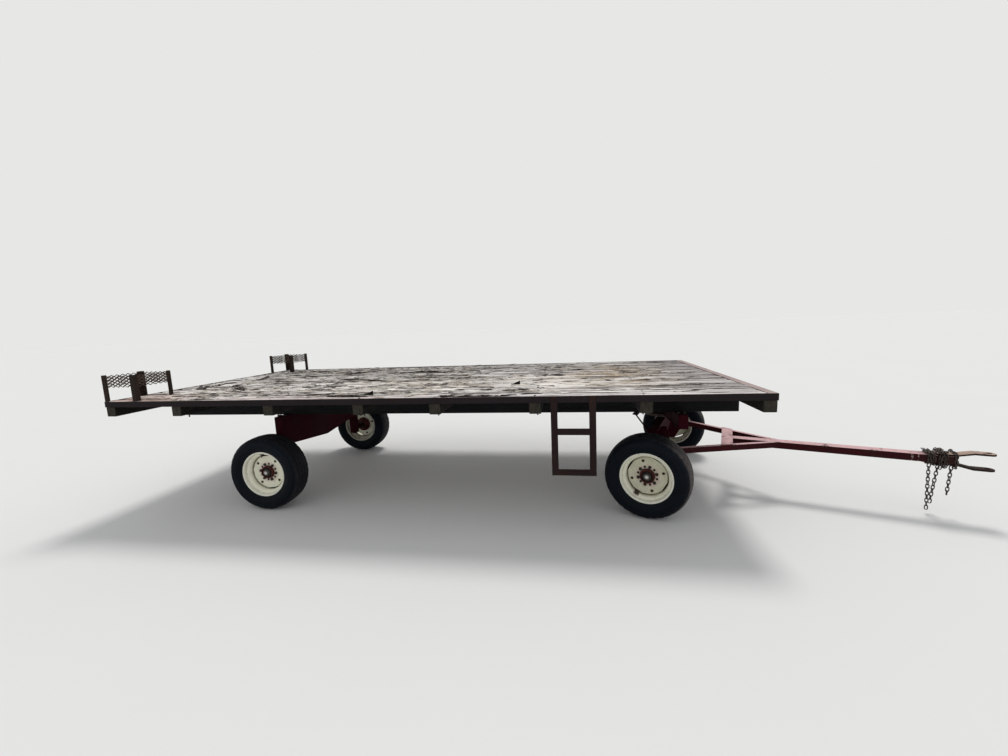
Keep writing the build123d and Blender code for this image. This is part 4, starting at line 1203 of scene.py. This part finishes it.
def link_mesh():
    """Points and faces of one welded link of round wire, its long way down Z in the XZ plane."""
    bow = (LINK_INNER + LINK_WIRE) / 2
    straight = (LINK_PITCH - LINK_INNER) / 2
    steps, sides = 8, 8
    points = []
    for end in (0, 1):
        for step in range(steps + 1):
            turn = math.pi * (step / steps + end)
            outward = Vector((math.cos(turn), 0, math.sin(turn)))
            centre = outward * bow + UP * straight * (1 - 2 * end)
            for side in range(sides):
                angle = math.tau * side / sides
                around = outward * math.cos(angle) + Vector((0, math.sin(angle), 0))
                points.append(centre + around * LINK_WIRE / 2)
    return points, tube_faces(2 * (steps + 1), sides, closed=True)


def turned_by(degrees, axis):
    """The matrix of a turn about an axis."""
    return Matrix.Rotation(math.radians(degrees), 4, axis)


def chains():
    """Hanging chains of welded links, and their turns round the pole."""
    # Columns: name, place along the pole, place across it, links, lean in degrees, places of its turns
    rows = (
        ("chain_rear", 1.951, -0.018, 13, -1.3, (-0.015, 0.0, 0.014)),
        ("chain_middle", 2.014, 0.014, 11, 5.0, (-0.015, 0.0, 0.014)),
        ("chain_front", 2.086, 0.006, 8, 2.8, (0.0,)),
    )
    draw = random.Random(5)
    link = link_mesh()
    turns = Shape()
    for name, along, across, count, lean, offsets in rows:
        under = STRAP_THICK if along > STRAP_BACK else 0.0
        low, high = POLE_LOW - under, POLE_HIGH + under
        top = low - WRAP_THICK - LINK_GAP
        hanging = GEAR @ Matrix.Translation((along, across, top)) @ turned_by(lean, "Y")
        shape = Shape()
        for number in range(count):
            drop = -LINK_PITCH / 2 - LINK_WIRE - number * (LINK_PITCH - LINK_GAP)
            twist = 90 * (number % 2) + draw.uniform(-9, 9)
            shape.add(*link, hanging @ Matrix.Translation((0, 0, drop)) @ turned_by(twist, "Z"))
        shape.piece(f"{name}_links", "tongue", "chain", [name])
        for offset in offsets:
            wrap(turns, link, along + offset, low, high, 0.5 * (offset > 0), draw)
    turns.piece("chain_turns", "tongue", "chain", ["chain_wraps"])


def wrap(shape, link, along, low, high, shift, draw):
    """One turn of links round the pole, with every other link leaning the other way."""
    half_y = POLE_HALF + 0.0095
    half_z = (high - low) / 2 + 0.0095
    around = 4 * (half_y + half_z)
    number = round(around / LINK_PITCH)
    for step in range(number):
        out = draw.uniform(-0.001, 0.005)
        y, z, heading = on_rectangle(around * (step + shift) / number, half_y + out, half_z + out)
        place = Matrix.Translation((along + draw.uniform(-0.004, 0.004), y, (high + low) / 2 + z))
        tip = draw.uniform(-12, 12) + (42 if step % 2 else -42)
        shape.add(*link, GEAR @ place @ Matrix.Rotation(heading, 4, "X") @ turned_by(tip + 90, "Z"))


def on_rectangle(along, half_y, half_z):
    """The point of a rectangle's edge at a length along it, and the angle that turns Z along that edge."""
    # Columns: y and z where an edge starts, its way in y and z, its length
    edges = ((half_y, -half_z, 0, 1, 2 * half_z), (half_y, half_z, -1, 0, 2 * half_y),
             (-half_y, half_z, 0, -1, 2 * half_z), (-half_y, -half_z, 1, 0, 2 * half_y))
    along %= 4 * (half_y + half_z)
    for y, z, way_y, way_z, length in edges:
        if along <= length:
            return y + way_y * along, z + way_z * along, math.atan2(-way_y, way_z)
        along -= length
    return half_y, -half_z, 0.0


# Baskets

def strand(shape, start, end, wide, thick, face):
    """A flat strand of expanded metal between two points, tilted out of the sheet."""
    way = (end - start).normalized()
    across = face.cross(way).normalized()
    tilt = (across * 0.80 + face * 0.60).normalized()
    other = way.cross(tilt).normalized()
    signs = ((-1, -1), (1, -1), (1, 1), (-1, 1))
    corners = [tilt * side * wide / 2 + other * layer * thick / 2 for side, layer in signs]
    shape.add([point + corner for point in (start, end) for corner in corners], tube_faces(2, 4))


def basket_mesh(side):
    """Four panels of expanded metal."""
    low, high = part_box(f"basket_mesh_{side}")
    shape = Shape()
    long_way, tall, inset = 0.046, 0.026, 0.002
    # Columns: a lower corner, way along the panel
    panels = (
        ((low.x, low.y + inset), (1, 0, 0)), ((low.x, high.y - inset), (1, 0, 0)),
        ((low.x + inset, low.y), (0, 1, 0)), ((high.x - inset, low.y), (0, 1, 0)),
    )
    height = high.z - low.z
    for corner, way in panels:
        origin, along = Vector((*corner, low.z)), Vector(way)
        length = along.dot(high - low)
        columns = int(length / long_way * 2)
        rows = int(height / tall * 2)
        for column in range(columns):
            for row in range(rows):
                odd = (column + row) % 2
                start = origin + along * column * length / columns + UP * (row + odd) * height / rows
                end = origin + along * (column + 1) * length / columns + UP * (row + 1 - odd) * height / rows
                strand(shape, start, end, 0.0068 if odd else 0.0082, 0.0030, along.cross(UP))
    shape.piece(f"basket_diamonds_{side}", "bed", "mesh", [f"basket_mesh_{side}"], smooth=None)


# Small parts

def fasteners():
    """The bolt through the straps, the bolts of the beams, and the weld beads of the ladder."""
    gear = Shape()
    for way, z in ((UP, POLE_HIGH), (-UP, POLE_LOW)):
        gear.add(*hex_head(GEAR @ Vector((STRAP_BOLT, 0.0, z)) + way * 0.0135, way, *BOLT_HEAD))
    gear.piece("strap_bolts", "tongue", "bolt")

    bed = Shape()
    for beam in ("rear_beam", "front_bolster"):
        low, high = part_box(beam)
        for side in (-1, 1):
            for x in (low.x + 0.018, high.x - 0.018):
                bed.add(*hex_head((x, side * BEAM_BOLT_Y, high.z - 0.0005), UP, *BOLT_HEAD))
    low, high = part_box("kingpin")
    middle = (low.x + high.x) / 2
    bed.add(*bar((middle, 0, low.z + 0.001), (middle, 0, low.z - 0.014), 0.0245, 20, 0.003))
    bed.piece("beam_bolts", "bed", "bolt")

    welds = Shape()
    low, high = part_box("ladder")
    draw = random.Random(3)
    for x in (low.x + 0.050, high.x - 0.050):
        for z in RUNG_HEIGHTS:
            for step in range(9):
                spot = (x + draw.uniform(-0.001, 0.001), low.y + 0.0024, z + 0.003 + step * 0.0055)
                welds.add(*dome(spot, (0, -1, 0), 0.0042, 0.0022, 8, 2))
    welds.piece("ladder_welds", "bed", "ladder")


# Materials of the solids that stay, by the start of the name; all others are gear
STYLES = {
    "rail_": "rail", "ladder": "ladder", "basket_posts_": "post", "cross_members": "cross", "sills": "sill",
    "tongue_": "tongue", "hitch_straps": "strap", "kingpin": "steel", "hinge_pins": "steel",
    "reach_pin": "steel", "turntable_": "steel",
}

# Widths of rounded edges that differ from those of plain steel
EDGES = {
    "cross_members": 0.005, "sills": 0.005, "reach": 0.004, "rear_beam": 0.004, "front_beam": 0.004,
    "front_bolster": 0.004, "tongue_pole": 0.004,
}


def carry_over():
    """Rounded edges and a material on every solid that stays."""
    for name, solid in NODES.items():
        if solid.hide_render:
            continue
        style = next((kind for start, kind in STYLES.items() if name.startswith(start)), "gear")
        solid.data.materials.clear()
        solid.data.materials.append(MATERIALS[style])
        solid.modifiers.new("weld", "WELD").merge_threshold = 0.00005
        bevel = solid.modifiers.new("edges", "BEVEL")
        bevel.width = EDGES.get(name, 0.0014)
        bevel.segments = 2
        bevel.limit_method = "ANGLE"
        bevel.angle_limit = math.radians(40)
        bevel.use_clamp_overlap = True
        bevel.harden_normals = False


set_camera()
floor_and_light()
deck()
wheels()
chains()
for basket_side in ("right", "left"):
    basket_mesh(basket_side)
fasteners()
carry_over()
